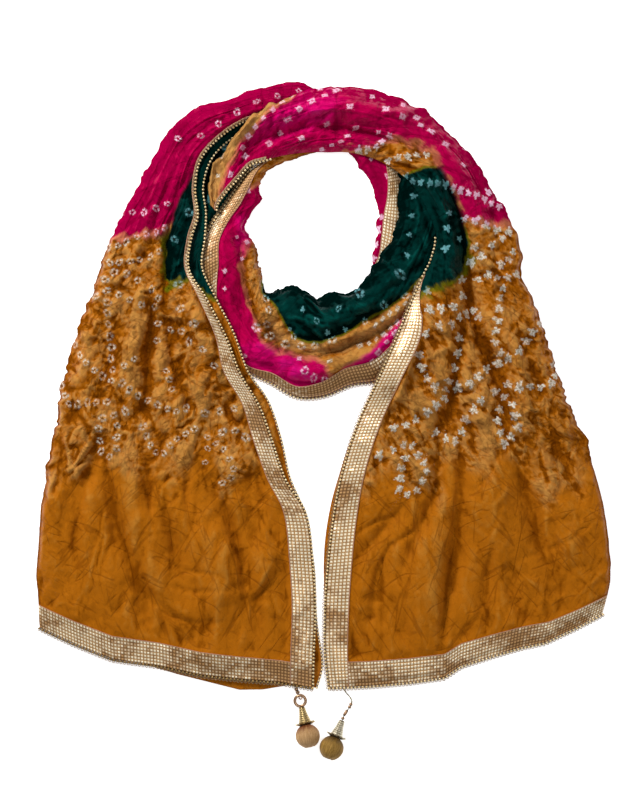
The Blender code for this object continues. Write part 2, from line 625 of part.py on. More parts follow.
LEFT_LATKAN = Latkan(
    "left", ((-37.0, -345.6, 3.0), (-35.8, -349.6, 2.6), (-34.2, -353.4, 2.6), (-33.0, -356.2, 2.4)),
    ((0.52, 2.2, 1.3), (0.84, 2.2, 1.3)), (-30.4, -365.6, 2.4), (-28.0, -374.9, 6.4),
    (-20.4, -409.6, BALL_RADIUS))
RIGHT_LATKAN = Latkan(
    "right", ((26.2, -348.6, 3.0), (29.9, -355.6, 1.4), (34.5, -360.8, 1.6), (36.9, -367.4, 2.4),
              (34.7, -372.0, 3.0), (33.1, -375.1, 3.4), (28.9, -381.0, 4.2), (25.9, -386.4, 5.0),
              (24.6, -390.4, 5.8)),
    ((0.52, 2.3, 1.5), (0.60, 2.3, 1.5), (0.765, 2.1, 3.9), (0.90, 2.3, 1.5)), (),
    (23.6, -392.4, 6.4), (10.4, -425.0, BALL_RADIUS))


def string_route(latkan: Latkan) -> np.ndarray:
    """A smooth run of points through the string's own."""
    nodes = np.array(latkan.string, float)
    run = np.concatenate(([0.0], np.cumsum(np.linalg.norm(np.diff(nodes, axis=0), axis=1))))
    return smooth_rows(run, nodes, np.linspace(0, run[-1], max(5, round(run[-1] / 1.6))))


def build_string(latkan: Latkan) -> np.ndarray:
    route = string_route(latkan)
    curve = bpy.data.curves.new(f"latkan_{latkan.side}_string", "CURVE")
    curve.dimensions = "3D"
    curve.bevel_depth = STRING_RADIUS * MM
    curve.bevel_resolution = 1
    curve.use_fill_caps = True
    spline = curve.splines.new("POLY")
    spline.points.add(len(route) - 1)
    for point, place in zip(spline.points, route):
        point.co = (*(place * MM), 1.0)
    piece = bpy.data.objects.new(curve.name, curve)
    bpy.data.collections[NAME].objects.link(piece)
    collect(piece, STRING)
    return route


def turned(name: str, profile: list, steps: int, finish: tuple, closed: bool) -> bpy.types.Object:
    """A profile of (radius, height) turned round Z by a Screw modifier."""
    data = bpy.data.meshes.new(name)
    mesh = bmesh.new()
    points = [mesh.verts.new((radius * MM, 0.0, height * MM)) for radius, height in profile]
    for a, b in zip(points, points[1:]):
        mesh.edges.new((a, b))
    if closed:
        mesh.edges.new((points[-1], points[0]))
    mesh.to_mesh(data)
    mesh.free()
    piece = bpy.data.objects.new(name, data)
    bpy.data.collections[NAME].objects.link(piece)
    screw = piece.modifiers.new("Turn", "SCREW")
    screw.steps = steps
    screw.render_steps = steps
    screw.use_merge_vertices = True
    screw.merge_threshold = 0.00001
    screw.use_smooth_shade = True
    return collect(piece, finish)


def place(piece: bpy.types.Object, at: np.ndarray, axis: np.ndarray) -> None:
    """Stand a piece's local Z along an axis at a point."""
    turn = Vector(axis).to_track_quat("Z", "Y").to_matrix().to_4x4()
    piece.matrix_world = Matrix.Translation(Vector(at) * MM) @ turn


def build_beads(latkan: Latkan, route: np.ndarray) -> None:
    """Beads threaded on the string, each bored clear of it."""
    run = np.concatenate(([0.0], np.cumsum(np.linalg.norm(np.diff(route, axis=0), axis=1))))
    for number, (share, radius, half) in enumerate(latkan.beads, start=1):
        at = np.array([np.interp(share * run[-1], run, route[:, k]) for k in range(3)])
        ahead = np.array([np.interp(share * run[-1] + half, run, route[:, k]) for k in range(3)])
        behind = np.array([np.interp(share * run[-1] - half, run, route[:, k]) for k in range(3)])
        bulge = [(BEAD_BORE + (radius - BEAD_BORE) * math.sin(angle) ** 0.7, half * math.cos(angle))
                 for angle in np.linspace(0, math.pi, 7)]
        profile = [(max(r, BEAD_BORE), z) for r, z in bulge]
        bead = turned(f"latkan_{latkan.side}_bead_{number}", profile, 12, BEADS, True)
        place(bead, at, ahead - behind)


def build_ring(latkan: Latkan) -> None:
    """A flat wire ring between the beads and the cap."""
    bpy.ops.mesh.primitive_torus_add(major_segments=24, minor_segments=8,
                                     major_radius=RING_RADIUS * MM, minor_radius=RING_WIRE * MM,
                                     location=Vector(latkan.ring) * MM)
    ring = bpy.context.object
    ring.name = f"latkan_{latkan.side}_ring"
    ring.data.shade_smooth()
    collect(ring, BEADS)


def build_cap_and_ball(latkan: Latkan) -> None:
    """A turned metal cap seated on a silk-covered ball that rests on the table."""
    tip, ball = np.array(latkan.tip), np.array(latkan.ball)
    reach = np.linalg.norm(ball - tip)
    seat = BALL_RADIUS + GAP
    rim = math.sqrt(seat ** 2 - CAP_SEAT_RADIUS ** 2)
    hollow = [(seat * math.sin(a), seat * math.cos(a))
              for a in np.linspace(math.asin(CAP_SEAT_RADIUS / seat), 0, 4)]
    hollow[-1] = (0.0, seat)
    profile = [(0.0, reach), (CAP_TIP_RADIUS, reach), (CAP_TIP_RADIUS + 0.6, reach - 4.0),
               (CAP_RIM_RADIUS - 2.6, rim + 7.0), (CAP_RIM_RADIUS, rim + CAP_FLANGE),
               (CAP_FLANGE_RADIUS, rim + CAP_FLANGE * 0.6), (CAP_FLANGE_RADIUS, rim)]
    cap = turned(f"latkan_{latkan.side}_cap", profile + hollow, 20, BRASS, False)
    place(cap, ball, tip - ball)
    bpy.ops.mesh.primitive_uv_sphere_add(segments=20, ring_count=12, radius=BALL_RADIUS * MM,
                                         location=Vector(ball) * MM)
    sphere = bpy.context.object
    sphere.name = f"latkan_{latkan.side}_ball"
    sphere.data.shade_smooth()
    collect(sphere, THREAD_BALL)


def build_latkan(latkan: Latkan) -> None:
    build_beads(latkan, build_string(latkan))
    if latkan.ring:
        build_ring(latkan)
    build_cap_and_ball(latkan)


def main() -> None:
    for leftover in list(bpy.data.objects):
        bpy.data.objects.remove(leftover)
    bpy.context.scene.collection.children.link(bpy.data.collections.new(NAME))
    pile = Pile()
    build_back_arc(pile)
    build_back_layer("left_inner_fold", INNER_FOLD_CUT, CLOTH_GREEN, pile)
    build_loop(pile)
    build_back_layer("left_tail_back", LEFT_BACK_CUT, CLOTH_MUSTARD, pile)
    build_back_layer("right_tail_back", RIGHT_BACK_CUT, CLOTH_MUSTARD, pile)
    build_front("left", LEFT_FRONT_CUT, LEFT_BORDER_TO, pile)
    build_front("right", RIGHT_FRONT_CUT, RIGHT_BORDER_TO, pile)
    for latkan in (LEFT_LATKAN, RIGHT_LATKAN):
        build_latkan(latkan)


main()
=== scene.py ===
"""Looks of a bandhani dupatta stole, wound once as round a neck and laid flat on a table.

The stole is one length of tie-dyed art silk with a woven gota ribbon, a beaded picot edge and a
drop (latkan) at each end. Lengths in the tables are millimetres in the part's own frame: X right,
Y up the table, Z up from it. Each stretch of cloth is a grid that is moved onto a shape lofted
through a short table of sections, with creases placed one by one and the finer crinkle of tied
silk worked out along the cloth.
"""

import json
import logging
import math
from dataclasses import dataclass
from enum import Enum
from typing import Callable, NamedTuple

import bmesh
import bpy
import numpy as np
from mathutils import Matrix, Vector

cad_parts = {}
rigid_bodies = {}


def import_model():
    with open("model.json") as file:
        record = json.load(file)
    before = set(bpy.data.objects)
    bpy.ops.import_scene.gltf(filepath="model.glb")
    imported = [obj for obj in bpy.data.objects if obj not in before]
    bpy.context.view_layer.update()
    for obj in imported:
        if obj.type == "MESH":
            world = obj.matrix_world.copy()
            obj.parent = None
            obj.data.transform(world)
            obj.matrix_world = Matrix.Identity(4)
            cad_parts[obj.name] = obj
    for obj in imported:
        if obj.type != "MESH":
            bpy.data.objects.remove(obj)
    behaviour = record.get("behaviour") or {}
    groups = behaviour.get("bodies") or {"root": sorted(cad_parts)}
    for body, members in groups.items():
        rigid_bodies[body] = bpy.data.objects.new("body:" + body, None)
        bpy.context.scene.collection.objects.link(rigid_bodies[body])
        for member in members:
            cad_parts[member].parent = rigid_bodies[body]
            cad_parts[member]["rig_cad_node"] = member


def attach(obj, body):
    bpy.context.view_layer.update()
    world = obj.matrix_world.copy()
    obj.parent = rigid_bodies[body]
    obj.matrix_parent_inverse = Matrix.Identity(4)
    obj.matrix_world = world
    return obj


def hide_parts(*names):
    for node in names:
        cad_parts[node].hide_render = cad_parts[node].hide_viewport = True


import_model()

log = logging.getLogger("dupatta")

MM = 0.001
VIEW_CENTRE = (-4.55, 20.8)     # millimetres, where the camera looks straight down
VIEW_HEIGHT = 1051.7            # millimetres of table from the frame's top to its bottom
LAY = 0.8                       # clearance between a stretch and what it lies on
SILK_THICK = 2.2                # how far the doubled silk stands off what it lies on
GRAIN = 2.5                     # pitch of the points along an edge
TABLE_LOW, TABLE_HIGH = (-420.0, -480.0), (420.0, 480.0)
END = 9999.0                    # past the end of any edge
OVER_SILK, OVER_RIBBON = 1.2, 1.3       # how far beads and piping stand over their edge
PIPING = 0.5
WHITE = (1, 1, 1, 1)


# ---------------------------------------------------------------------------------------------
# Tables: how the cloth runs, its creases, its dye and its tied dots
# ---------------------------------------------------------------------------------------------

class Section(NamedTuple):
    """One station of a stretch, from its folded edge to its bordered edge."""

    outer_x: float
    outer_y: float
    inner_x: float
    inner_y: float
    rise: float          # height of the crown over the edges
    border: float        # width of the gota ribbon as it shows from above


class Crease(NamedTuple):
    """A crease along a line: a negative depth is a valley, a positive one a ridge."""

    depth: float
    width: float
    line: tuple


class Dye(Enum):
    """The dye baths the silk went through, with the attribute channel that carries each."""

    MUSTARD = -1
    PINK = 0
    GREEN = 1
    MAGENTA = 2


class DyePatch(NamedTuple):
    """A patch of one dye inside a closed outline, its edge bleeding over a distance."""

    dye: Dye
    bleed: float
    outline: tuple


class Knot(Enum):
    """How a tied dot comes out once its thread is cut."""

    RING = 0.0
    STAR = 1.0
    LOZENGE = 2.0


# How large each kind comes out, in the radii of its line.
KNOT_SIZES = {Knot.RING: 1.08, Knot.STAR: 1.0, Knot.LOZENGE: 0.86}


class DotLine(NamedTuple):
    """A line of tied dots at an even pitch."""

    knot: Knot
    pitch: float
    radius: float
    line: tuple


def table(kind: type | Knot, *rows: tuple) -> tuple:
    """Read rows of bare values, of which the last ones are the corners of a line or an outline.

    Args:
        kind: What each row is; a kind of knot stands for a line of such dots.
        rows: The values. A section has no corners, every other row has two values before them.

    Returns:
        The rows by name.
    """
    if kind is Section:
        return tuple(Section(*row) for row in rows)
    if isinstance(kind, Knot):
        return tuple(DotLine(kind, *row[:2], row[2:]) for row in rows)
    return tuple(kind(*row[:2], row[2:]) for row in rows)


LEFT_TAIL = table(
    Section,
    (-370, -270, -15, -348, 4, 29), (-372, -228, -14, -305, 5, 29), (-374, -201, -12, -253, 6, 29),
    (-371, -155, -15, -188, 7, 29), (-367, -103, -25, -119, 8, 27), (-359, -51, -51, -77, 9, 22),
    (-349, -6, -68, -27, 10, 23), (-340, 50, -86, 21, 12, 20), (-326, 97, -109, 60, 13, 20),
    (-309, 146, -127, 107, 14, 13), (-294, 193, -153, 158, 15, 9), (-279, 235, -176, 198, 16, 4),
    (-262, 272, -172, 237, 16, 4), (-242, 307, -164, 265, 15, 4), (-222, 345, -168, 301, 15, 3),
    (-200, 379, -161, 339, 14, 2), (-166, 406, -137, 367, 14, 2), (-122, 418, -105, 388, 14, 2),
    (-75, 434, -70, 397, 13, 2), (-33, 440, -33, 400, 13, 4), (0, 429, 0, 394, 12, 4),
    (35, 420, 28, 388, 12, 4), (70, 408, 56, 380, 11, 4), (102, 390, 82, 366, 9, 4),
)
LEFT_BACK = table(
    Section,
    (-353, -275, -10, -348, 0.4, 0), (-358, -228, -3, -317, 0.6, 0),
    (-361, -201, -10, -266, 0.6, 0), (-358, -155, -14, -190, 0.6, 0),
    (-354, -103, -28, -116, 0.6, 0), (-345, -51, -45, -75, 0.8, 0), (-332, -6, -57, -23, 1, 0),
    (-304, 33, -73, 24, 1.5, 0), (-258, 76, -99, 63, 2, 0), (-226, 120, -118, 114, 3, 0),
    (-213, 167, -142, 161, 4, 0), (-205, 206, -159, 201, 4, 0), (-198, 237, -155, 237, 4, 0),
    (-192, 268, -154, 271, 4, 0), (-187, 297, -158, 300, 4, 0), (-180, 322, -154, 324, 4, 0),
    (-168, 348, -142, 348, 4, 0), (-153, 369, -124, 365, 4, 0), (-133, 384, -106, 376, 4, 0),
    (-111, 406, -80, 393, 4, 0), (-85, 417, -57, 401, 3, 0),
)
INNER_FOLD = table(
    Section,
    (-145, 157, -119, 162, 2, 0), (-157, 196, -127, 198, 3, 0), (-161, 228, -128, 231, 3, 0),
    (-162, 261, -127, 258, 3, 0), (-163, 287, -122, 283, 3, 0), (-161, 319, -111, 302, 3, 0),
    (-145, 352, -96, 326, 3, 0), (-119, 380, -80, 352, 3, 0), (-89, 401, -63, 365, 2, 0),
)
BACK_ARC = table(
    Section,
    (28, 352, 71, 375, 8, 13), (40, 340, 84, 362, 9, 13), (50, 326, 92, 345, 10, 13),
    (62, 313, 98, 323, 10, 15), (71, 289, 102, 292, 10, 19), (73, 271, 103, 266, 10, 24),
    (68, 241, 99, 229, 9, 25), (64, 219, 88, 206, 8, 18), (59, 198, 75, 190, 6, 13),
)
LOOP = table(
    Section,
    (93, 339, 136, 365, 9, 3), (99, 313, 159, 339, 11, 3), (99, 284, 175, 300, 12, 3),
    (98, 258, 179, 263, 13, 3), (84, 227, 175, 224, 14, 3), (68, 203, 164, 188, 15, 4),
    (53, 179, 144, 149, 16, 10), (34, 168, 115, 97, 17, 20), (14, 166, 77, 55, 18, 26),
    (-8, 159, 37, 47, 18, 22), (-25, 170, -2, 32, 18, 17), (-41, 175, -33, 31, 18, 13),
    (-58, 171, -67, 49, 18, 12), (-72, 166, -101, 67, 17, 5), (-79, 180, -124, 103, 16, 4),
    (-83, 202, -144, 149, 15, 8), (-90, 224, -158, 189, 15, 24), (-97, 250, -157, 228, 14, 24),
    (-93, 271, -145, 253, 13, 24), (-81, 289, -129, 277, 12, 22), (-84, 307, -112, 302, 11, 16),
    (-75, 323, -98, 322, 9, 10), (-53, 336, -78, 338, 7, 5), (-31, 344, -52, 354, 6, 4),
    (-11, 350, -34, 368, 5, 3), (12, 357, -20, 382, 4, 3),
)
RIGHT_BACK = table(
    Section,
    (349, -249, 18, -340, 0.4, 0), (358, -223, 5, -275, 0.6, 0), (362, -197, 1, -214, 0.6, 0),
    (359, -155, 2, -162, 0.6, 0), (349, -110, 10, -110, 0.6, 0), (335, -64, 23, -64, 0.6, 0),
    (318, -15, 41, -12, 0.6, 0), (298, 33, 64, 40, 0.6, 0), (279, 85, 90, 89, 0.8, 0),
    (265, 124, 112, 128, 1, 0),
)
RIGHT_TAIL = table(
    Section,
    (363, -252, 8, -348, 4, 26), (372, -218, 3, -301, 5, 29), (374, -188, 3, -249, 6, 30),
    (370, -142, 6, -201, 7, 30), (361, -96, 14, -129, 8, 29), (344, -36, 27, -64, 9, 28),
    (326, 11, 46, -5, 11, 28), (307, 58, 72, 53, 13, 28), (291, 105, 97, 110, 15, 28),
    (278, 146, 114, 151, 16, 14), (263, 183, 127, 181, 17, 6), (253, 226, 141, 211, 18, 3),
    (239, 268, 146, 240, 18, 3), (220, 302, 133, 276, 18, 3), (197, 339, 115, 305, 18, 3),
    (162, 378, 84, 331, 17, 3), (123, 408, 58, 343, 17, 3), (80, 424, 29, 349, 17, 3),
    (34, 434, 6, 349, 17, 3), (-5, 432, -15, 349, 16, 3), (-44, 419, -44, 346, 14, 3),
    (-77, 404, -75, 339, 13, 3), (-106, 383, -96, 332, 11, 3), (-127, 356, -112, 314, 9, 3),
    (-142, 330, -127, 297, 7, 3), (-149, 302, -138, 281, 5, 3), (-146, 279, -140, 272, 4, 2),
)

# How far a hem hangs below the straight line between its corners: (across, drop).
LEFT_HEM = ((0, 0), (0.13, 11), (0.27, 20), (0.44, 15), (0.59, 15), (0.74, 9), (0.88, 2), (1, 0))
LEFT_BACK_HEM = ((0, 0), (0.18, 15), (0.34, 17), (0.48, 21), (0.56, 22), (0.71, 24), (0.8, 17),
                 (0.9, 4), (1, 0))
RIGHT_HEM = ((0, 0), (0.1, 9), (0.21, 17), (0.3, 15), (0.41, 16), (0.52, 18), (0.58, 27),
             (0.71, 21), (0.85, 12), (1, 0))
RIGHT_BACK_HEM = ((0, 0), (0.2, 12), (0.4, 12), (0.58, 22), (0.71, 18), (0.85, 9), (1, 0))

LEFT_FOLDS = table(
    Crease,
    (-5, 13, (-293, -25), (-311, -90), (-324, -161), (-319, -201)),
    (-7, 14, (-285, -54), (-276, -105), (-262, -155), (-246, -203), (-223, -229)),
    (-6, 12, (-237, -25), (-228, -64), (-226, -110)),
    (-4, 13, (-215, -103), (-194, -161), (-189, -197)),
    (-3, 12, (-177, -64), (-177, -103), (-174, -142)),
    (-5, 13, (-154, -64), (-127, -123), (-107, -166), (-101, -214)),
    (-4, 13, (-112, -38), (-79, -103), (-50, -175)),
    (-4, 13, (-62, -203), (-89, -237), (-85, -272)), (-3, 12, (-141, -257), (-175, -288)),
    (-4, 12, (-242, -224), (-228, -272)), (4, 18, (-304, -64), (-309, -142), (-297, -233)),
    (4, 21, (-258, -64), (-226, -181), (-206, -246)),
    (5, 26, (-161, -129), (-141, -194), (-128, -246)), (3, 16, (-76, -181), (-80, -233)),
    (-8, 12, (-226, 196), (-223, 118), (-231, 27), (-239, -25)),
    (-6, 11, (-202, 222), (-207, 157), (-197, 79), (-174, 14)),
    (-4, 12, (-265, 157), (-275, 92), (-280, 27)), (4, 13, (-245, 157), (-252, 92), (-245, 27)),
    (-4, 11, (-189, 118), (-180, 66), (-176, 1)), (-3, 12, (-154, 92), (-132, 27), (-109, -25)),
    (4, 12, (-179, 170), (-154, 105), (-128, 40)), (3, 13, (-306, 118), (-311, 53), (-304, 1)),
    (-6, 10, (-202, 157), (-205, 206), (-200, 254), (-187, 300), (-171, 326)),
    (4, 12, (-239, 206), (-228, 254), (-213, 300), (-192, 339)),
    (-4, 10, (-226, 222), (-213, 280), (-189, 332)),
    (-3, 10, (-187, 352), (-148, 384), (-96, 406)),
)
RIGHT_FOLDS = table(
    Crease,
    (-7, 14, (180, -12), (177, -109), (170, -205), (155, -266)),
    (-6, 13, (151, -6), (149, -84), (122, -148), (98, -205)),
    (-5, 13, (254, -32), (266, -109), (285, -162), (302, -220)),
    (-4, 13, (292, -12), (314, -58), (336, -103)), (-4, 13, (218, -166), (211, -216), (201, -259)),
    (-4, 13, (81, -171), (73, -214), (55, -279)), (-3, 12, (84, -222), (118, -301)),
    (-4, 12, (112, -101), (73, -148), (42, -184)), (-3, 12, (194, -262), (175, -298)),
    (-4, 13, (232, -180), (262, -266)), (4, 23, (216, -25), (219, -129), (229, -181)),
    (5, 23, (132, -129), (138, -220), (125, -285)), (4, 21, (314, -129), (327, -194)),
    (-10, 12, (185, 205), (190, 157), (206, 98), (229, 46), (240, 1)),
    (-8, 12, (185, 131), (175, 92), (168, 33), (162, -6)),
    (4, 13, (151, 157), (159, 105), (146, 40), (138, -6)),
    (5, 16, (216, 170), (236, 118), (258, 66), (275, 14)),
    (-3, 13, (255, 118), (281, 53), (297, 1)), (-4, 12, (125, 105), (115, 53), (97, 1)),
    (4, 13, (203, 40), (201, -12)),
    (-10, 10, (194, 141), (188, 183), (185, 222), (179, 263), (168, 293), (149, 323)),
    (4, 12, (164, 196), (163, 241), (151, 280), (132, 309)),
    (4, 13, (216, 209), (209, 254), (190, 300), (162, 339), (125, 365)),
    (-5, 9, (184, 310), (151, 328), (119, 352), (67, 369), (21, 380), (-31, 380), (-80, 365),
     (-109, 332)), (4, 12, (138, 374), (99, 393), (47, 404), (-18, 401), (-70, 384)),
    (-3, 10, (229, 241), (214, 287), (190, 323)),
)
LOOP_FOLDS = table(
    Crease,
    (-4, 11, (151, 300), (161, 254), (151, 206)),
    (3, 12, (125, 313), (132, 267), (123, 222), (93, 189)),
    (-7, 9, (142, 166), (116, 146), (73, 111), (21, 92), (-18, 89), (-54, 99), (-80, 124),
     (-96, 157), (-105, 196), (-109, 235)),
    (-5, 8, (132, 176), (99, 157), (47, 124), (-5, 105), (-37, 107), (-59, 141), (-72, 162)),
    (4, 13, (106, 189), (60, 157), (8, 133), (-31, 137)),
    (4, 13, (99, 124), (54, 85), (8, 66), (-37, 66), (-76, 92), (-102, 131)),
)

LEFT_DYES = table(
    DyePatch,
    (Dye.PINK, 7, (-317, 222), (-291, 231), (-279, 233), (-267, 236), (-252, 239), (-232, 240),
     (-215, 245), (-200, 250), (-187, 258), (-179, 268), (-171, 279), (-155, 307), (-142, 328),
     (-122, 349), (-98, 370), (-62, 396), (-18, 411), (21, 417), (125, 422), (125, 495),
     (-343, 495), (-343, 222)),
    (Dye.GREEN, 7, (-205, 235), (-153, 240), (-153, 193), (-171, 185), (-187, 177), (-202, 170)),
    (Dye.GREEN, 1.6, (-161, 336), (-174, 313), (-187, 287), (-194, 268), (-202, 240),
     (-205, 206), (-205, 185), (-200, 180), (-193, 192), (-187, 198), (-179, 201), (-168, 203),
     (-153, 211), (-145, 235), (-145, 328)),
)
LEFT_BACK_DYES = table(
    DyePatch,
    (Dye.GREEN, 5, (-239, 469), (-5, 469), (-5, 287), (-109, 157), (-132, 149), (-145, 157),
     (-161, 172), (-179, 183), (-239, 196)),
)
INNER_DYES = table(
    DyePatch,
    (Dye.GREEN, 6, (-239, 469), (8, 469), (8, 105), (-239, 105)),
)
LOOP_DYES = table(
    DyePatch,
    (Dye.MUSTARD, 6, (-80, 133), (-51, 97), (-10, 84), (34, 94), (79, 118), (105, 141),
     (115, 157), (99, 151), (68, 128), (29, 107), (-15, 98), (-46, 110), (-67, 136)),
    (Dye.PINK, 5, (-174, 292), (-119, 289), (-103, 297), (-85, 309), (-67, 309), (-75, 266),
     (-90, 240), (-101, 227), (-107, 216), (-109, 198), (-105, 174), (-97, 146), (-88, 123),
     (-77, 101), (-62, 89), (-31, 83), (-10, 79), (2, 71), (11, 60), (27, 55), (37, 66),
     (63, 76), (89, 97), (110, 128), (131, 162), (164, 118), (125, 1), (-161, 1), (-187, 157)),
    (Dye.MAGENTA, 4, (19, 60), (29, 70), (47, 81), (64, 96), (86, 116), (107, 137), (115, 154),
     (151, 157), (151, 105), (99, 47), (8, 32)),
    (Dye.MAGENTA, 12, (-109, 92), (-85, 105), (-57, 89), (-18, 71), (-7, 53), (-44, 37),
     (-109, 58)),
    (Dye.MAGENTA, 6, (-111, 267), (-93, 271), (-80, 254), (-96, 229), (-106, 211), (-114, 235)),
    (Dye.GREEN, 2.4, (-80, 167), (-70, 157), (-60, 146), (-55, 133), (-47, 119), (-36, 107),
     (-20, 101), (-2, 102), (21, 109), (47, 125), (76, 141), (99, 157), (115, 172), (131, 190),
     (151, 206), (307, 206), (307, 430), (73, 430), (80, 287), (60, 196), (8, 183), (-80, 183)),
)
ARC_DYES = table(
    DyePatch,
    (Dye.PINK, 6, (21, 404), (190, 404), (190, 118), (21, 118)),
)
RIGHT_DYES = table(
    DyePatch,
    (Dye.PINK, 8, (-187, 482), (333, 482), (333, 252), (245, 253), (227, 254), (206, 258),
     (192, 259), (181, 258), (176, 270), (171, 289), (159, 311), (150, 328), (140, 343),
     (123, 356), (97, 362), (68, 357), (47, 353), (27, 343), (8, 323), (-57, 319), (-109, 235),
     (-174, 209), (-187, 261)),
    (Dye.MAGENTA, 14, (-93, 383), (-72, 401), (-46, 415), (-18, 426), (11, 423), (21, 409),
     (8, 388), (-25, 375), (-62, 365), (-88, 362)),
    (Dye.MUSTARD, 4, (-161, 235), (-142, 268), (-136, 291), (-129, 314), (-118, 339),
     (-105, 361), (-88, 379), (-72, 396), (-57, 408), (-42, 415), (-38, 423), (-51, 427),
     (-80, 411), (-101, 396), (-122, 375), (-142, 349), (-161, 313), (-176, 287)),
    (Dye.GREEN, 9, (105, 206), (185, 222), (188, 203), (171, 180), (146, 170), (112, 157),
     (86, 162)),
    (Dye.GREEN, 2.5, (97, 305), (103, 315), (115, 322), (128, 326), (141, 328), (151, 326),
     (161, 310), (172, 289), (179, 268), (184, 248), (189, 232), (188, 219), (181, 207),
     (171, 196), (158, 187), (146, 183), (133, 179), (112, 164), (73, 159), (73, 305)),
)
LEFT_DOTS = table(
    Knot.RING,
    (14.5, 4.9, (-283, 183), (-281, 146), (-278, 110), (-274, 67), (-275, 51)),
    (14, 4.8, (-323, 98), (-309, 76), (-298, 66), (-285, 57), (-262, 51), (-244, 33), (-220, 21),
     (-188, 11), (-177, 16)), (13, 4.3, (-259, 71), (-246, 79)),
    (13, 5.0, (-341, 45), (-332, 21), (-307, 24), (-281, 23)),
    (15, 5.2, (-258, 12), (-287, 2), (-293, -18), (-289, -44), (-276, -46), (-268, -36),
     (-268, -6)), (13, 4.9, (-235, -8), (-224, -32), (-213, -46), (-190, -24), (-168, -11)),
    (13, 4.6, (-205, 64), (-196, 41)), (18, 5.3, (-155, 10), (-135, 12), (-116, 16)),
    (15, 5.3, (-132, -14), (-115, -12), (-101, -21)),
    (13.5, 4.6, (-151, -21), (-133, -33), (-118, -55), (-116, -70), (-132, -81)),
    (14, 4.0, (-151, -36), (-153, -53)),
    (14, 4.6, (-280, 224), (-267, 227), (-246, 236), (-231, 242), (-215, 245), (-205, 250)),
    (13, 4.4, (-278, 206), (-254, 205), (-231, 211), (-213, 219)),
    (15, 5.0, (-272, 193), (-259, 192), (-242, 181)),
    (16, 5.2, (-297, 161), (-270, 166), (-253, 158), (-237, 150)),
    (26, 5.0, (-223, 171), (-216, 125), (-216, 103)), (17, 5.0, (-200, 118), (-184, 116)),
    (30, 5.6, (-187, 176), (-185, 145)),
    (22, 5.6, (-167, 125), (-176, 98), (-155, 92), (-142, 71)),
    (30, 4.4, (-233, 145), (-215, 159)),
    (15, 4.5, (-265, 270), (-249, 271), (-233, 270), (-218, 276), (-202, 281)),
    (30, 4.2, (-188, 367), (-157, 369), (-132, 388), (-97, 406), (-62, 422), (-31, 427)),
    (30, 5.4, (-194, 235), (-175, 270)),
)
INNER_DOTS = table(
    Knot.LOZENGE,
    (30, 5.4, (-148, 287), (-129, 357)),
)
LOOP_DOTS = table(
    Knot.RING,
    (16, 5.2, (-76, 158), (-73, 144), (-72, 125)),
    (20, 5.4, (-86, 122), (-54, 99), (-15, 96), (11, 105)), (30, 4.4, (-38, 110), (19, 146)),
) + table(
    Knot.STAR,
    (26, 3.8, (-27, 145), (-2, 112), (28, 118)),
) + table(
    Knot.RING,
    (40, 6.6, (46, 166), (99, 189)), (28, 5.0, (53, 131), (88, 158), (107, 162)),
) + table(
    Knot.STAR,
    (26, 3.7, (105, 189), (116, 291)),
) + table(
    Knot.LOZENGE,
    (12, 4.8, (68, 123), (81, 136), (99, 146), (115, 161), (120, 172)),
    (11.5, 5.0, (47, 98), (66, 103), (79, 114), (92, 123), (105, 133), (110, 145)),
    (15, 5.4, (62, 76), (77, 97), (92, 115)), (30, 4.6, (7, 77), (-31, 80)),
) + table(
    Knot.RING,
    (15, 4.8, (-24, 64), (-11, 55), (1, 51)),
) + table(
    Knot.LOZENGE,
    (60, 4.2, (-103, 84), (-44, 118)), (17, 4.0, (-109, 284), (-97, 300)),
    (21, 4.2, (-111, 237), (-97, 240), (-105, 211)), (30, 4.2, (-128, 170), (-127, 193)),
)
ARC_DOTS = table(
    Knot.LOZENGE,
    (30, 3.6, (62, 341), (80, 323), (84, 287)),
) + table(
    Knot.STAR,
    (22, 4.2, (76, 266), (71, 245), (64, 211)),
)
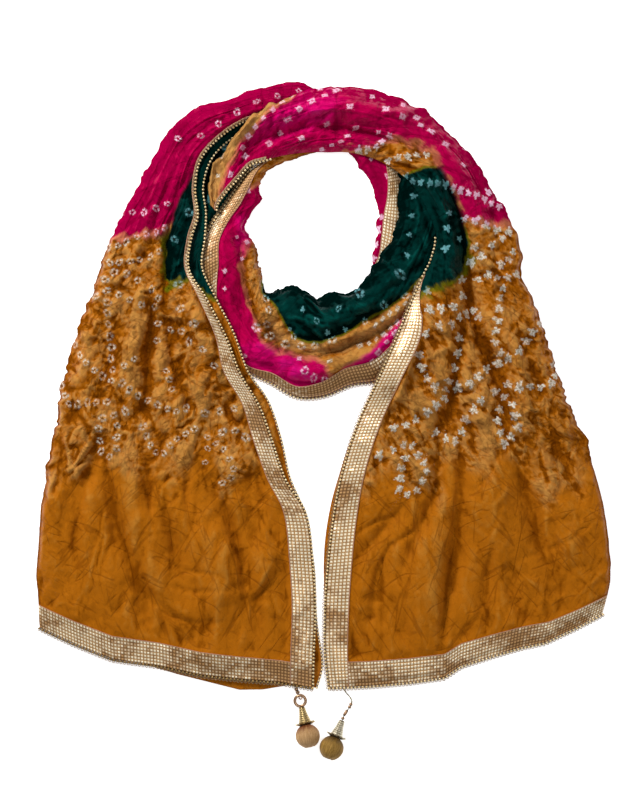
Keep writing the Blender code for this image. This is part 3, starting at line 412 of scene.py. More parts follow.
RIGHT_DOTS = table(
    Knot.STAR,
    (11, 4.9, (106, 314), (119, 307), (132, 307), (153, 306), (164, 304), (172, 297), (187, 293),
     (201, 291), (215, 283), (228, 278)),
    (13.5, 5.0, (183, 263), (196, 259), (210, 253), (224, 248), (240, 245)),
    (13, 5.4, (196, 224), (205, 214), (192, 206)), (14, 5.0, (219, 227), (232, 236)),
    (12, 5.0, (231, 203), (240, 209), (246, 219)),
    (14, 5.0, (201, 184), (214, 188), (236, 184), (250, 189)),
    (15, 5.2, (232, 172), (229, 157), (226, 135), (222, 118), (222, 102), (226, 89), (239, 80)),
    (14, 5.2, (137, 144), (153, 146), (167, 148)), (11, 5.2, (177, 135), (194, 144), (202, 135)),
    (14, 5.2, (149, 120), (164, 123)), (30, 5.0, (132, 112), (135, 167)),
    (18, 5.2, (177, 107), (174, 89), (168, 68), (162, 50)),
    (15.5, 5.4, (123, 83), (129, 59), (148, 41), (168, 40), (193, 50), (218, 71), (252, 89),
     (271, 116), (281, 127)), (14.5, 5.4, (300, 72), (301, 51), (279, 42), (240, 46)),
    (15, 5.6, (222, 38), (245, 25), (252, -10), (235, -32), (226, -2), (229, 15)),
    (15, 5.2, (159, 29), (137, 14), (107, -7), (92, -10)), (15, 5.0, (205, 25), (184, 2)),
    (14, 5.2, (146, -16), (168, -29), (181, -15)), (14, 5.0, (73, -45), (105, -31)),
    (14, 5.4, (114, -34), (128, -49), (135, -60), (125, -84), (112, -97), (98, -89), (102, -64),
     (106, -49)), (20, 4.6, (179, 183), (181, 162)),
    (13, 5.0, (83, 337), (98, 339), (111, 341), (133, 343)),
    (12, 4.6, (46, 352), (57, 350), (67, 356), (77, 361), (86, 366)),
) + table(
    Knot.LOZENGE,
    (17, 5.2, (-42, 421), (-54, 411), (-70, 397), (-84, 385), (-97, 370), (-105, 353)),
    (25, 4.8, (-105, 384), (-124, 366), (-133, 341), (-136, 318)),
    (18, 5.4, (-32, 402), (-46, 389), (-54, 375), (-70, 358)), (27, 5.0, (-102, 343), (-120, 318)),
    (20, 5.2, (-15, 411), (5, 421), (18, 427)), (40, 5.0, (34, 405), (5, 383), (-29, 365)),
    (12, 4.2, (41, 378), (33, 370), (25, 362), (10, 356), (-2, 352)),
    (22, 5.6, (62, 419), (84, 398), (125, 382)), (30, 5.6, (103, 409), (158, 357)),
    (24, 4.2, (-5, 431), (21, 437)), (28, 4.6, (185, 354), (181, 330)),
    (16, 4.2, (71, 372), (85, 365)),
) + table(
    Knot.STAR,
    (20, 4.2, (159, 248), (162, 268)), (22, 4.4, (158, 222), (177, 235)),
    (20, 4.6, (214, 297), (227, 279)),
)
LOOP_VALLEYS = table(
    Crease,
    (-2.2, 6, (110, 318), (120, 297), (129, 274), (137, 250), (141, 235)),
    (-4.2, 2.4, (-96, 128), (-83, 107), (-58, 92), (-31, 84), (-7, 83), (19, 92), (41, 102),
     (67, 114), (93, 128), (120, 151)),
    (2.0, 5, (-93, 136), (-79, 116), (-55, 101), (-31, 93), (-8, 92), (16, 101), (40, 111),
     (66, 123), (92, 138), (118, 159)), (-1.6, 5, (84, 268), (94, 245), (102, 222), (105, 198)),
    (-1.6, 5, (136, 219), (118, 198), (94, 177), (63, 159), (29, 149)),
)
LEFT_VALLEYS = table(
    Crease,
    (-3.0, 5, (-284, -54), (-276, -93), (-268, -142), (-254, -181), (-242, -214), (-219, -240),
     (-200, -259)), (-2.6, 4, (-242, -54), (-231, -84), (-224, -110), (-222, -149)),
    (-1.6, 6, (-200, -119), (-196, -162), (-187, -181)),
    (-1.8, 4, (-180, -64), (-179, -90), (-177, -119)),
    (-2.6, 4, (-141, -86), (-125, -119), (-115, -155), (-106, -194), (-102, -220)),
    (-2.0, 4, (-125, -73), (-99, -106), (-73, -142), (-54, -164)),
    (-2.2, 4, (-226, -223), (-200, -253), (-161, -268), (-132, -262)),
    (-2.4, 3, (-93, -236), (-81, -223), (-70, -211)),
    (-1.8, 5, (-317, -119), (-326, -151), (-323, -181)),
    (-2.0, 3, (-174, -285), (-155, -268), (-145, -278)),
    (1.4, 5, (-267, -166), (-250, -220), (-236, -257)),
    (-1.4, 3, (-213, -181), (-174, -197), (-135, -201)),
    (-1.3, 3, (-206, -214), (-167, -223), (-124, -220)),
    (-1.4, 3, (-340, -64), (-311, -54), (-285, -49)),
)
RIGHT_VALLEYS = table(
    Crease,
    (-2.8, 6, (177, -32), (180, -71), (177, -119), (171, -175), (167, -223)),
    (-2.4, 4, (150, -32), (148, -77), (141, -110)),
    (-2.2, 4, (249, -38), (258, -84), (275, -125), (291, -164), (307, -210)),
    (-1.6, 4, (229, -38), (216, -71), (190, -97)),
    (-2.4, 5, (219, -162), (216, -207), (206, -259)),
    (-2.2, 4, (232, -207), (252, -246), (268, -262)),
    (-2.2, 4, (125, -97), (119, -142), (86, -164), (70, -194), (63, -233)),
    (-2.0, 3, (47, -262), (60, -292), (76, -314)), (-1.8, 3, (93, -266), (103, -283), (115, -298)),
    (-1.7, 3, (41, -149), (67, -132), (96, -123)), (-2.0, 3, (291, -19), (301, -41), (323, -54)),
    (-1.6, 3, (37, -90), (63, -64), (89, -45)),
    (-1.3, 3, (255, -181), (288, -171), (320, -155), (354, -129)),
    (-2.0, 6, (132, 300), (142, 276), (151, 250), (155, 227)),
    (-1.2, 5, (151, 302), (167, 268), (175, 235), (177, 206)),
)


class Cut(NamedTuple):
    """What shows of one stretch as it would lie flat, and how it lies in the stole."""

    flat: tuple[float, float]        # metres, width and length
    rests_on: tuple[str, ...]
    trims: tuple[str, ...]           # starts of the names of what is sewn on it


# ---------------------------------------------------------------------------------------------
# Curves and fields
# ---------------------------------------------------------------------------------------------

def smooth_rows(knots: np.ndarray, rows: np.ndarray, at: np.ndarray) -> np.ndarray:
    """Read a smooth curve through rows of values.

    Args:
        knots: Distance of each row along the curve.
        rows: One row of values for each knot.
        at: Distances to read the curve at.

    Returns:
        One row of values for each distance asked for.
    """
    span = np.diff(knots)
    secant = np.diff(rows, axis=0) / span[:, None]
    slope = np.empty_like(rows)
    slope[0], slope[-1] = secant[0], secant[-1]
    before, after = span[:-1, None], span[1:, None]
    slope[1:-1] = (secant[:-1] * after + secant[1:] * before) / (before + after)
    k = np.clip(np.searchsorted(knots, at, side="right") - 1, 0, len(span) - 1)
    t = ((at - knots[k]) / span[k])[:, None]
    h = span[k][:, None]
    return ((2 * t ** 3 - 3 * t ** 2 + 1) * rows[k] + (t ** 3 - 2 * t ** 2 + t) * h * slope[k]
            + (3 * t ** 2 - 2 * t ** 3) * rows[k + 1] + (t ** 3 - t ** 2) * h * slope[k + 1])


def smoothstep(t: np.ndarray) -> np.ndarray:
    """Ease from 0 to 1 over the unit interval."""
    t = np.clip(t, 0.0, 1.0)
    return t * t * (3 - 2 * t)


def run_along(points: np.ndarray) -> np.ndarray:
    """Distance of each point of a polyline from the first one, along the line."""
    return np.concatenate(([0.0], np.cumsum(np.linalg.norm(np.diff(points, axis=0), axis=1))))


def blend(values: np.ndarray, i: np.ndarray, j: np.ndarray, fi: np.ndarray, fj: np.ndarray
          ) -> np.ndarray:
    """Read a grid between its rows and its columns.

    Args:
        values: The grid.
        i: Row before each place.
        j: Column before each place.
        fi: Share of the way to the next row.
        fj: Share of the way to the next column.

    Returns:
        The value at each place.
    """
    return (values[i, j] * (1 - fi) * (1 - fj) + values[i + 1, j] * fi * (1 - fj)
            + values[i, j + 1] * (1 - fi) * fj + values[i + 1, j + 1] * fi * fj)


def along_line(x: np.ndarray, y: np.ndarray, line: tuple) -> tuple[np.ndarray, np.ndarray]:
    """Measure points against a polyline.

    Args:
        x: X of each point.
        y: Y of each point.
        line: The polyline's (x, y) corners.

    Returns:
        Distance of each point from the line, and how far along it the nearest place is, 0 to 1.
    """
    nodes = np.array(line, float)
    steps = np.diff(nodes, axis=0)
    lengths = np.linalg.norm(steps, axis=1)
    run = np.concatenate(([0.0], np.cumsum(lengths)))
    best = np.full(x.shape, np.inf)
    place = np.zeros(x.shape)
    for start, step, length, before in zip(nodes, steps, lengths, run):
        t = np.clip(((x - start[0]) * step[0] + (y - start[1]) * step[1]) / length ** 2, 0, 1)
        away = np.hypot(x - start[0] - t * step[0], y - start[1] - t * step[1])
        nearer = away < best
        best = np.where(nearer, away, best)
        place = np.where(nearer, (before + t * length) / run[-1], place)
    return best, place


def inside_by(x: np.ndarray, y: np.ndarray, outline: tuple) -> np.ndarray:
    """Distance of points inside a closed outline, negative outside it.

    Args:
        x: X of each point.
        y: Y of each point.
        outline: The outline's (x, y) corners.

    Returns:
        Signed distance of each point from the outline.
    """
    corners = (*outline, outline[0])
    away, _ = along_line(x, y, corners)
    odd = np.zeros(x.shape, bool)
    for (ax, ay), (bx, by) in zip(corners[:-1], corners[1:]):
        if ay == by:
            continue
        odd ^= ((ay > y) != (by > y)) & (x < (bx - ax) * (y - ay) / (by - ay) + ax)
    return np.where(odd, away, -away)


def resample(points: np.ndarray, pitch: float) -> np.ndarray:
    """Place points at an even pitch along a polyline.

    Args:
        points: The polyline's points.
        pitch: Distance between neighbours, made even over the whole length.

    Returns:
        The evenly spaced points, both ends among them.
    """
    run = run_along(points)
    count = max(2, round(run[-1] / pitch) + 1)
    at = np.linspace(0, run[-1], count)
    return np.stack([np.interp(at, run, points[:, k]) for k in range(points.shape[1])], axis=1)


def blurred(values: np.ndarray, cells: int) -> np.ndarray:
    """Average a grid over a square of cells, its edges held."""
    for axis in (0, 1):
        pad = [(0, 0), (0, 0)]
        pad[axis] = (cells + 1, cells)
        total = np.cumsum(np.pad(values, pad, mode="edge"), axis=axis)
        size = 2 * cells + 1
        upper = np.take(total, range(size, total.shape[axis]), axis=axis)
        lower = np.take(total, range(0, total.shape[axis] - size), axis=axis)
        values = (upper - lower) / size
    return values


class Raster:
    """A height map on square cells, read at points with blending between cells."""

    def __init__(self, low: tuple, high: tuple, cell: float) -> None:
        """Lay out the cells between two corners, all at zero."""
        self.low, self.cell = low, cell
        self.shape = tuple(math.ceil((b - a) / cell) + 2 for a, b in zip(low, high))
        self.values = np.zeros(self.shape)

    def read(self, u: np.ndarray, v: np.ndarray, values: np.ndarray | None = None) -> np.ndarray:
        """Read the map, or other values on its cells, at points.

        Args:
            u: First coordinate of each point.
            v: Second coordinate of each point.
            values: Values to read in place of the map's own.

        Returns:
            The blended value at each point.
        """
        values = self.values if values is None else values
        i = np.clip((u - self.low[0]) / self.cell - 0.5, 0, self.shape[0] - 1.001)
        j = np.clip((v - self.low[1]) / self.cell - 0.5, 0, self.shape[1] - 1.001)
        a, b = np.floor(i).astype(int), np.floor(j).astype(int)
        return blend(values, a, b, i - a, j - b)


class Ground(Raster):
    """The height of what already lies on the table."""

    CELL = 2.0
    WIDEN = 6        # cells that a high spot reaches under the cloth that lies on it
    SOFTEN = 5       # cells over which the cloth bridges a step
    BARE = 0.01      # height up to which a cell counts as bare table

    def __init__(self) -> None:
        """Start with the bare table."""
        super().__init__(TABLE_LOW, TABLE_HIGH, self.CELL)

    def add(self, places: np.ndarray) -> None:
        """Raise the map to the top of a grid of points."""
        for axis in (0, 1):
            even = np.moveaxis(places, axis, 0)
            fine = np.empty((2 * len(even) - 1, *even.shape[1:]))
            fine[::2], fine[1::2] = even, (even[:-1] + even[1:]) / 2
            places = np.moveaxis(fine, 0, axis)
        i = ((places[..., 0] - self.low[0]) / self.cell).astype(int)
        j = ((places[..., 1] - self.low[1]) / self.cell).astype(int)
        np.maximum.at(self.values, (i, j), places[..., 2])

    def widened(self, cells: int) -> np.ndarray:
        """The map with each high spot widened by a number of cells."""
        wide = self.values
        for axis in (0, 1):
            wide = np.max([np.roll(wide, k, axis) for k in range(-cells, cells + 1)], axis=0)
        return wide

    def under(self, x: np.ndarray, y: np.ndarray) -> np.ndarray:
        """Height at which a new stretch of cloth comes to rest at points."""
        soft = blurred(blurred(self.widened(self.WIDEN), self.SOFTEN), self.SOFTEN)
        bare = self.read(x, y, self.widened(1))
        return np.maximum(self.read(x, y, soft), np.where(bare > self.BARE, bare + LAY, 0.0))


class Crinkle:
    """What tying and wringing leave in silk, as height maps over the cloth's own length and width.

    Scraps, shards and slivers are flat facets that meet in sharp creases, as in crushed paper,
    from large to small. Crush and drapes are the same on a hanging end: long, loose and soft.
    Streams run along cloth that was gathered. Swell is the billow under all of them.
    """

    CELL = 0.9
    MARGIN = 6.0
    FACETS = {"scraps": (24, 17), "shards": (11.5, 9), "slivers": (5.2, 4.2),
              "crush": (70, 24), "drapes": (210, 38), "streams": (75, 9)}
    SMOOTH = {"swell": (36, 18), "wick": (9, 5)}
    SOFT_DRAPES = 9              # cells over which the drapes are softened

    def __init__(self, seed: int, length: float, width: float) -> None:
        """Work the maps out for a stretch of cloth.

        Args:
            seed: Seed of the random draws.
            length: Length of the stretch.
            width: Width of the stretch.
        """
        self.draw = np.random.default_rng(seed)
        self.raster = Raster((-self.MARGIN, -self.MARGIN),
                             (length + self.MARGIN, width + self.MARGIN), self.CELL)
        self.maps = {name: self.facets(*size) for name, size in self.FACETS.items()}
        self.maps |= {name: self.noise(*size) for name, size in self.SMOOTH.items()}
        self.maps["drapes"] = blurred(self.maps["drapes"], self.SOFT_DRAPES)

    def noise(self, along: float, across: float) -> np.ndarray:
        """Smooth noise with a length scale along the cloth and one across it."""
        white = np.fft.rfft2(self.draw.standard_normal(self.raster.shape))
        u = np.fft.fftfreq(self.raster.shape[0], self.CELL)[:, None]
        v = np.fft.rfftfreq(self.raster.shape[1], self.CELL)[None, :]
        keep = np.exp(-2 * math.pi ** 2 * ((u * along) ** 2 + (v * across) ** 2) / 4)
        made = np.fft.irfft2(white * keep, s=self.raster.shape)
        return (made - made.mean()) / made.std()

    def facets(self, along: float, across: float, bend: float = 0.5) -> np.ndarray:
        """Flat triangles over a bent lattice of random heights, with sharp creases between.

        Args:
            along: Length of a facet along the cloth.
            across: Its length across the cloth.
            bend: How far the lattice is bent, in cells.

        Returns:
            The map, with a spread of 1.
        """
        rows, cols = self.raster.shape
        u = (np.arange(rows) * self.CELL / along)[:, None] + bend * self.noise(along, across)
        v = (np.arange(cols) * self.CELL / across)[None, :] + bend * self.noise(along, across)
        u, v = u - u.min(), v - v.min()
        i, j = u.astype(int), v.astype(int)
        fu, fv = u - i, v - j
        heights = self.draw.normal(0, 1, (i.max() + 2, j.max() + 2))
        turned = (self.draw.random(heights.shape) < 0.5)[i, j]
        low, ahead = heights[i, j], heights[i + 1, j]
        aside, far = heights[i, j + 1], heights[i + 1, j + 1]
        first = np.where(fu > fv, low + (ahead - low) * fu + (far - ahead) * fv,
                         low + (aside - low) * fv + (far - aside) * fu)
        second = np.where(fu + fv < 1, low + (ahead - low) * fu + (aside - low) * fv,
                          far + (aside - far) * (1 - fu) + (ahead - far) * (1 - fv))
        made = np.where(turned, first, second)
        return (made - made.mean()) / made.std()

    def read(self, name: str, s: np.ndarray, c: np.ndarray) -> np.ndarray:
        """One of the maps at points of the cloth."""
        return self.raster.read(s, c, self.maps[name])

    def mixed(self, strengths: dict[str, float], s: np.ndarray, c: np.ndarray) -> np.ndarray:
        """Several of the maps added up, each with its strength in millimetres."""
        return sum(strength * self.read(name, s, c) for name, strength in strengths.items())


# ---------------------------------------------------------------------------------------------
# Meshes
# ---------------------------------------------------------------------------------------------

def grid_piece(name: str, places: np.ndarray) -> bpy.types.Object:
    """Move a new grid's vertices to a block of points.

    Args:
        name: Name of the piece.
        places: Points in millimetres, as (rows, columns, 3).

    Returns:
        The new object, its faces pointing up.
    """
    rows, cols = places.shape[:2]
    mesh = bmesh.new()
    bmesh.ops.create_grid(mesh, x_segments=cols - 1, y_segments=rows - 1, size=0.5)
    for vert, place in zip(mesh.verts, places.reshape(-1, 3) * MM):
        vert.co = place
    mesh.normal_update()
    if sum(face.normal.z for face in mesh.faces) < 0:
        bmesh.ops.reverse_faces(mesh, faces=mesh.faces)
    return piece_from(name, mesh)


def placed(name: str, data: bpy.types.ID) -> bpy.types.Object:
    """Put a mesh, curve, light or camera in the scene, at the origin."""
    piece = bpy.data.objects.new(name, data)
    bpy.context.scene.collection.objects.link(piece)
    return piece


def piece_from(name: str, mesh: bmesh.types.BMesh) -> bpy.types.Object:
    """Turn a bmesh into a smooth-shaded object at the origin, and free it."""
    data = bpy.data.meshes.new(name)
    mesh.to_mesh(data)
    mesh.free()
    data.shade_smooth()
    return placed(name, data)


def give_attribute(piece: bpy.types.Object, name: str, values: np.ndarray) -> None:
    """Store values on a piece's vertices.

    Args:
        piece: The object.
        name: Name of the attribute.
        values: One, three or four values for each vertex: a float, a vector or a colour.
    """
    kind, slot = {1: ("FLOAT", "value"), 3: ("FLOAT_VECTOR", "vector"),
                  4: ("FLOAT_COLOR", "color")}[values.size // len(piece.data.vertices)]
    attribute = piece.data.attributes.new(name, kind, "POINT")
    attribute.data.foreach_set(slot, np.ascontiguousarray(values, np.float32).ravel())


def give_uv(piece: bpy.types.Object, s: np.ndarray, c: np.ndarray) -> None:
    """Unwrap a grid by its own length and width, in metres."""
    layer = piece.data.uv_layers.new(name="cloth")
    corners = np.empty(len(piece.data.loops), np.int32)
    piece.data.loops.foreach_get("vertex_index", corners)
    pairs = np.stack((s.ravel(), c.ravel()), axis=1)[corners] * MM
    layer.uv.foreach_set("vector", pairs.astype(np.float32).ravel())


def declare(piece: bpy.types.Object, finish: bpy.types.Material,
            nodes: tuple[str, ...] = ()) -> bpy.types.Object:
    """Dress a piece, hang it on the root body and hide the CAD nodes that it stands for.

    Args:
        piece: The object.
        finish: Its material.
        nodes: CAD nodes that it stands for.

    Returns:
        The same object.
    """
    piece.data.materials.clear()
    piece.data.materials.append(finish)
    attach(piece, "root")
    if nodes:
        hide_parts(*nodes)
    log.info("%s: %d vertices", piece.name, len(piece.data.vertices))
    return piece


# ---------------------------------------------------------------------------------------------
# The cloth
# ---------------------------------------------------------------------------------------------

class Wrinkles(NamedTuple):
    """A kind of small sharp wrinkle."""

    density: float           # wrinkles on a square millimetre of cloth that has them
    shortest: float
    longest: float
    spread: float            # spread of their heading off the cloth's own, in radians
    height: float
    foot: float              # reach of the steep side
    back: float              # reach of the gentle side
    shade: float             # painted shade at the foot


@dataclass
class Cloth:
    """One stretch of the stole, laid on what is already there."""

    name: str
    sections: tuple
    columns: int
    step: float                      # distance between rows where the silk is crinkled
    seed: int
    replaces: tuple[str, ...]
    slot: str
    dyes: tuple = ()
    dots: tuple = ()
    creases: tuple = ()
    hem: tuple = ()
    bordered: bool = True
    plain_step: float = 0.0          # distance between rows of a hanging end, 0 for none
    plain_below: float = -999.0      # height on the table under which the silk is smooth
    flat_round: float = 0.5          # exponent of the crown's rounding at the bordered edge
    crinkled: float = 1.0            # strength of the crinkle
    darker_dye_and_shade: float = 0.0             # darker than the other stretches: deeper dye and painted shade

    HEM_FADE = 200.0
    OUTER_ROUND = 26.0
    INNER_ROUND = 46.0
    TUCK = 4.0                       # how far the folded edges turn under
    CREASED = 2.0                    # how much deeper the silk folds than its solid does
    DENTED = 1.2                     # how far a fold may go under the stretch's own edges
    EVEN, EASED = 0.7, 0.3           # columns keep even spacing, and gather at both edges
    ROUGH_EDGE = 0.25                # share of the width over which the folded edge wanders
    EDGE_ROW = 9                     # where across the maps the edge's wandering is read
    HEM_HELD = 27                    # how far up the sewn hem keeps the silk flat
    BLEED = 3.6                      # how many bleeds a dye takes from none to full
    WICK = 0.3                       # how ragged the wicking makes a dye's edge, in bleeds
    WANDER = 22                      # how far the edge of the tied part wanders up and down
    PINK_CALM, GREEN_CALM = 0.62, 0.6        # how much less crinkled the dyed silk is
    HANGING, TIED = 0.14, 0.86       # crinkle of a hanging end, and what tying adds to it
    DEEPEST_CREASE_SHADE = 0.3              # the most painted shade that wrinkles put at their feet
    THIN, FULL = 0.35, 0.65          # thickness of a folded edge, and what it gains inwards
    KNOT_SHIFT = 0.7                 # spread of the dots off their line
    CLEAR = 0.7                      # how near two dots come, in their radii added up
    FINE, COARSE = 2, 12             # cells over which painted shade and tone see small creases, whole folds
    SWELL, DRAPE = 1.8, 1.7          # height of the billow, and of a hanging end's long folds
    # Strengths in mm of the crinkle's maps: at the folded edge, where tied and where hanging.
    EDGE_MAPS = {"scraps": 1.5, "shards": 1.0, "slivers": 0.6}
    TIED_MAPS = {"scraps": 1.7, "shards": 0.7, "slivers": 0.08}
    LOOSE_MAPS = {"crush": 1.6, "scraps": 0.35, "shards": 0.06}
    LONG_WRINKLES = Wrinkles(0.0042, 25, 90, 0.6, 0.9, 2.0, 7.0, 0.24)
    FINE_WRINKLES = Wrinkles(0.0130, 9, 34, 1.0, 0.35, 1.3, 3.2, 0.26)
    SHORT_WRINKLES = Wrinkles(0.0075, 10, 29, 1.1, 0.9, 1.6, 4.5, 0.16)
    DYED_WRINKLES = Wrinkles(0.0034, 12, 41, 0.6, 0.8, 1.8, 5.0, 0.14)

    def lay(self, ground: Ground) -> "Cloth":
        """Work out the cloth's surface over what lies on the table.

        Args:
            ground: Heights of what is there already; this stretch is added to it.

        Returns:
            The cloth itself.
        """
        rows = np.array(self.sections, float)
        moved = (np.linalg.norm(np.diff(rows[:, 0:2], axis=0), axis=1)
                 + np.linalg.norm(np.diff(rows[:, 2:4], axis=0), axis=1)) / 2
        knots = np.concatenate(([0.0], np.cumsum(moved)))
        self.s = self.row_places(knots, rows)
        data = smooth_rows(knots, rows, self.s)
        outer, inner = data[:, 0:2], data[:, 2:4]
        self.width = np.linalg.norm(inner - outer, axis=1)
        self.border = np.clip(data[:, 5], 2.0, None) if self.bordered else np.zeros(len(self.s))
        even = np.linspace(0, 1, self.columns + 1)
        self.t = self.EVEN * even + self.EASED * (1 - np.cos(math.pi * even)) / 2
        across = np.broadcast_to(self.t, (len(self.s), len(self.t)))
        self.crinkle = Crinkle(self.seed, self.s[-1], 1.1 * self.width.max())
        self.gathered = across * np.sqrt(self.width * self.width.max())[:, None]
        c = across * self.width[:, None]
        s = np.broadcast_to(self.s[:, None], across.shape)
        x = outer[:, :1] + (inner - outer)[:, :1] * across
        y = outer[:, 1:] + (inner - outer)[:, 1:] * across
        if self.hem:
            drop = np.interp(across, *np.array(self.hem, float).T)
            y = y - drop * smoothstep(1 - self.s / self.HEM_FADE)[:, None]
        self.read_dye(x, y, s, c)
        tied = self.tied(y, s, c)
        aside = (inner - outer) / self.width[:, None]
        wander = (np.maximum(tied[:, :1], 0.75 * self.dye[:, :1].sum(axis=-1))
                  * smoothstep(1 - across / self.ROUGH_EDGE)
                  * self.crinkle.mixed(self.EDGE_MAPS, s[:, :1],
                                       np.full_like(s[:, :1], self.EDGE_ROW)))
        x, y = x + aside[:, :1] * wander, y + aside[:, 1:] * wander
        from_inner = (1 - across) * self.width[:, None]
        z = self.height(x, y, s, c, from_inner, data[:, 4:5], tied, ground)
        self.places = np.stack((x, y, z), axis=-1)
        self.cloth_s, self.cloth_c = s, c
        ground.add(self.places)
        return self

    def row_places(self, knots: np.ndarray, rows: np.ndarray) -> np.ndarray:
        """Distances of the rows along the cloth, closer where the silk is crinkled."""
        if not self.plain_step:
            return np.linspace(0, knots[-1], round(knots[-1] / self.step) + 1)
        height = (rows[:, 1] + rows[:, 3]) / 2
        change = float(np.interp(self.plain_below, height[:8], knots[:8]))
        fine = np.linspace(0, knots[-1], 4001)
        density = np.interp(fine, (0, change - 40, change + 20, knots[-1]),
                            (1 / self.plain_step, 1 / self.plain_step, 1 / self.step,
                             1 / self.step))
        count = np.concatenate(([0.0], np.cumsum((density[1:] + density[:-1]) / 2
                                                 * np.diff(fine))))
        return np.interp(np.linspace(0, count[-1], round(count[-1]) + 1), count, fine)

    def read_dye(self, x: np.ndarray, y: np.ndarray, s: np.ndarray, c: np.ndarray) -> None:
        """Work out how much of each dye the silk took at every point."""
        weights = np.zeros((*x.shape, 3))
        self.pale = np.zeros(x.shape)
        wick = self.crinkle.read("wick", s, c)
        for patch in self.dyes:
            over = patch.dye is Dye.MAGENTA
            depth = inside_by(x, y, patch.outline) + wick * patch.bleed * self.WICK
            took = smoothstep(0.5 + depth / (self.BLEED * patch.bleed))
            weights[..., 2 if over else 0:] *= (1 - took)[..., None]
            if patch.dye is Dye.MUSTARD:
                self.pale = np.maximum(self.pale, took)
            else:
                weights[..., patch.dye.value] += took
        self.dye = weights

    def tied(self, y: np.ndarray, s: np.ndarray, c: np.ndarray) -> np.ndarray:
        """Strength of the crinkle at every point: most in the mustard that is thick with knots."""
        pink = np.clip(self.dye[..., 0] + self.dye[..., 2], 0, 1)
        by_dye = 1.0 - self.PINK_CALM * pink - self.GREEN_CALM * self.dye[..., 1]
        wander = self.WANDER * self.crinkle.read("swell", s, c)
        zone = self.HANGING + self.TIED * smoothstep((y + wander - self.plain_below + 30) / 90)
        return self.crinkled * by_dye * zone

    def height(self, x: np.ndarray, y: np.ndarray, s: np.ndarray, c: np.ndarray,
               from_inner: np.ndarray, rise: np.ndarray, tied: np.ndarray, ground: Ground
               ) -> np.ndarray:
        """Height of the cloth's face at every point.

        Args:
            x: X of the points.
            y: Y of the points.
            s: Distance along the cloth.
            c: Distance from the folded edge.
            from_inner: Distance from the bordered edge.
            rise: Height of each row's crown over its edges.
            tied: Strength of the crinkle.
            ground: Heights of what is there already.

        Returns:
            The heights, in millimetres.
        """
        half = self.width[:, None] / 2
        u = np.clip(c / np.minimum(self.OUTER_ROUND, half), 0, 1)
        v = np.clip(from_inner / np.minimum(self.INNER_ROUND, half), 0, 1)
        crown = np.sqrt(1 - (1 - u) ** 2) * (1 - (1 - v) ** 2) ** self.flat_round
        calm = smoothstep(c / 7) * smoothstep((from_inner - self.border[:, None]) / 8)
        if self.hem:
            calm = calm * smoothstep((s - self.HEM_HELD) / 12)
            crown = crown * smoothstep(0.2 + s / self.INNER_ROUND)
        read = self.crinkle.read
        dyed = np.clip(self.dye.sum(axis=-1), 0, 1)
        small = tied * self.crinkle.mixed(self.TIED_MAPS, s, c)
        loose = np.clip(1 - tied - 0.6 * dyed, 0, 1)
        small += loose * self.crinkle.mixed(self.LOOSE_MAPS, s, c)
        small += dyed * (0.6 * read("streams", s, self.gathered) + 0.42 * read("scraps", s, c)
                         + 0.1 * read("shards", s, c))
        self.shaded_creases = np.zeros(x.shape)
        small += loose * (self.wrinkles(x, y, loose, self.LONG_WRINKLES)
                          + self.wrinkles(x, y, loose, self.FINE_WRINKLES))
        small += tied * self.wrinkles(x, y, tied, self.SHORT_WRINKLES)
        small += 0.6 * dyed * self.wrinkles(x, y, dyed, self.DYED_WRINKLES)
        small += self.pucker(x, y)
        small *= calm
        relief = self.fold_relief(x, y)
        relief += (tied + 0.4 * dyed) * self.SWELL * read("swell", s, c)
        relief += loose * self.DRAPE * read("drapes", s, c)
        relief = small + relief * calm
        # Tone and painted shade: crests painted lighter and hollows darker, partly as pooled dye
        # and partly as painted highlight and painted shade; wrinkle feet get painted shade.
        fine = small - blurred(small, self.FINE)
        deep = relief - blurred(relief, self.COARSE)
        self.slack = 1 - np.clip(tied, 0, 1)
        self.tone_and_painted_shade = np.clip(0.5 + fine / (3.2 + 1.2 * loose) + deep / (12 + 26 * loose)
                            - np.clip(self.shaded_creases * calm, 0, self.DEEPEST_CREASE_SHADE)
                            - self.darker_dye_and_shade * dyed, 0, 1)
        # Painted shade: dyed silk darker near its folded edge, and all silk darkest on the edge.
        self.tone_and_painted_shade -= 0.3 * dyed * (1 - smoothstep(c / 24))
        self.tone_and_painted_shade = np.clip(self.tone_and_painted_shade, 0, 1) * (0.2 + 0.8 * smoothstep(c / 5))
        rest = ground.under(x, y)
        body = np.maximum(crown * rise + relief, -self.DENTED * calm)
        return np.maximum(
            rest + SILK_THICK * (self.THIN + self.FULL * smoothstep(c / 6)) + body, rest + 0.5)

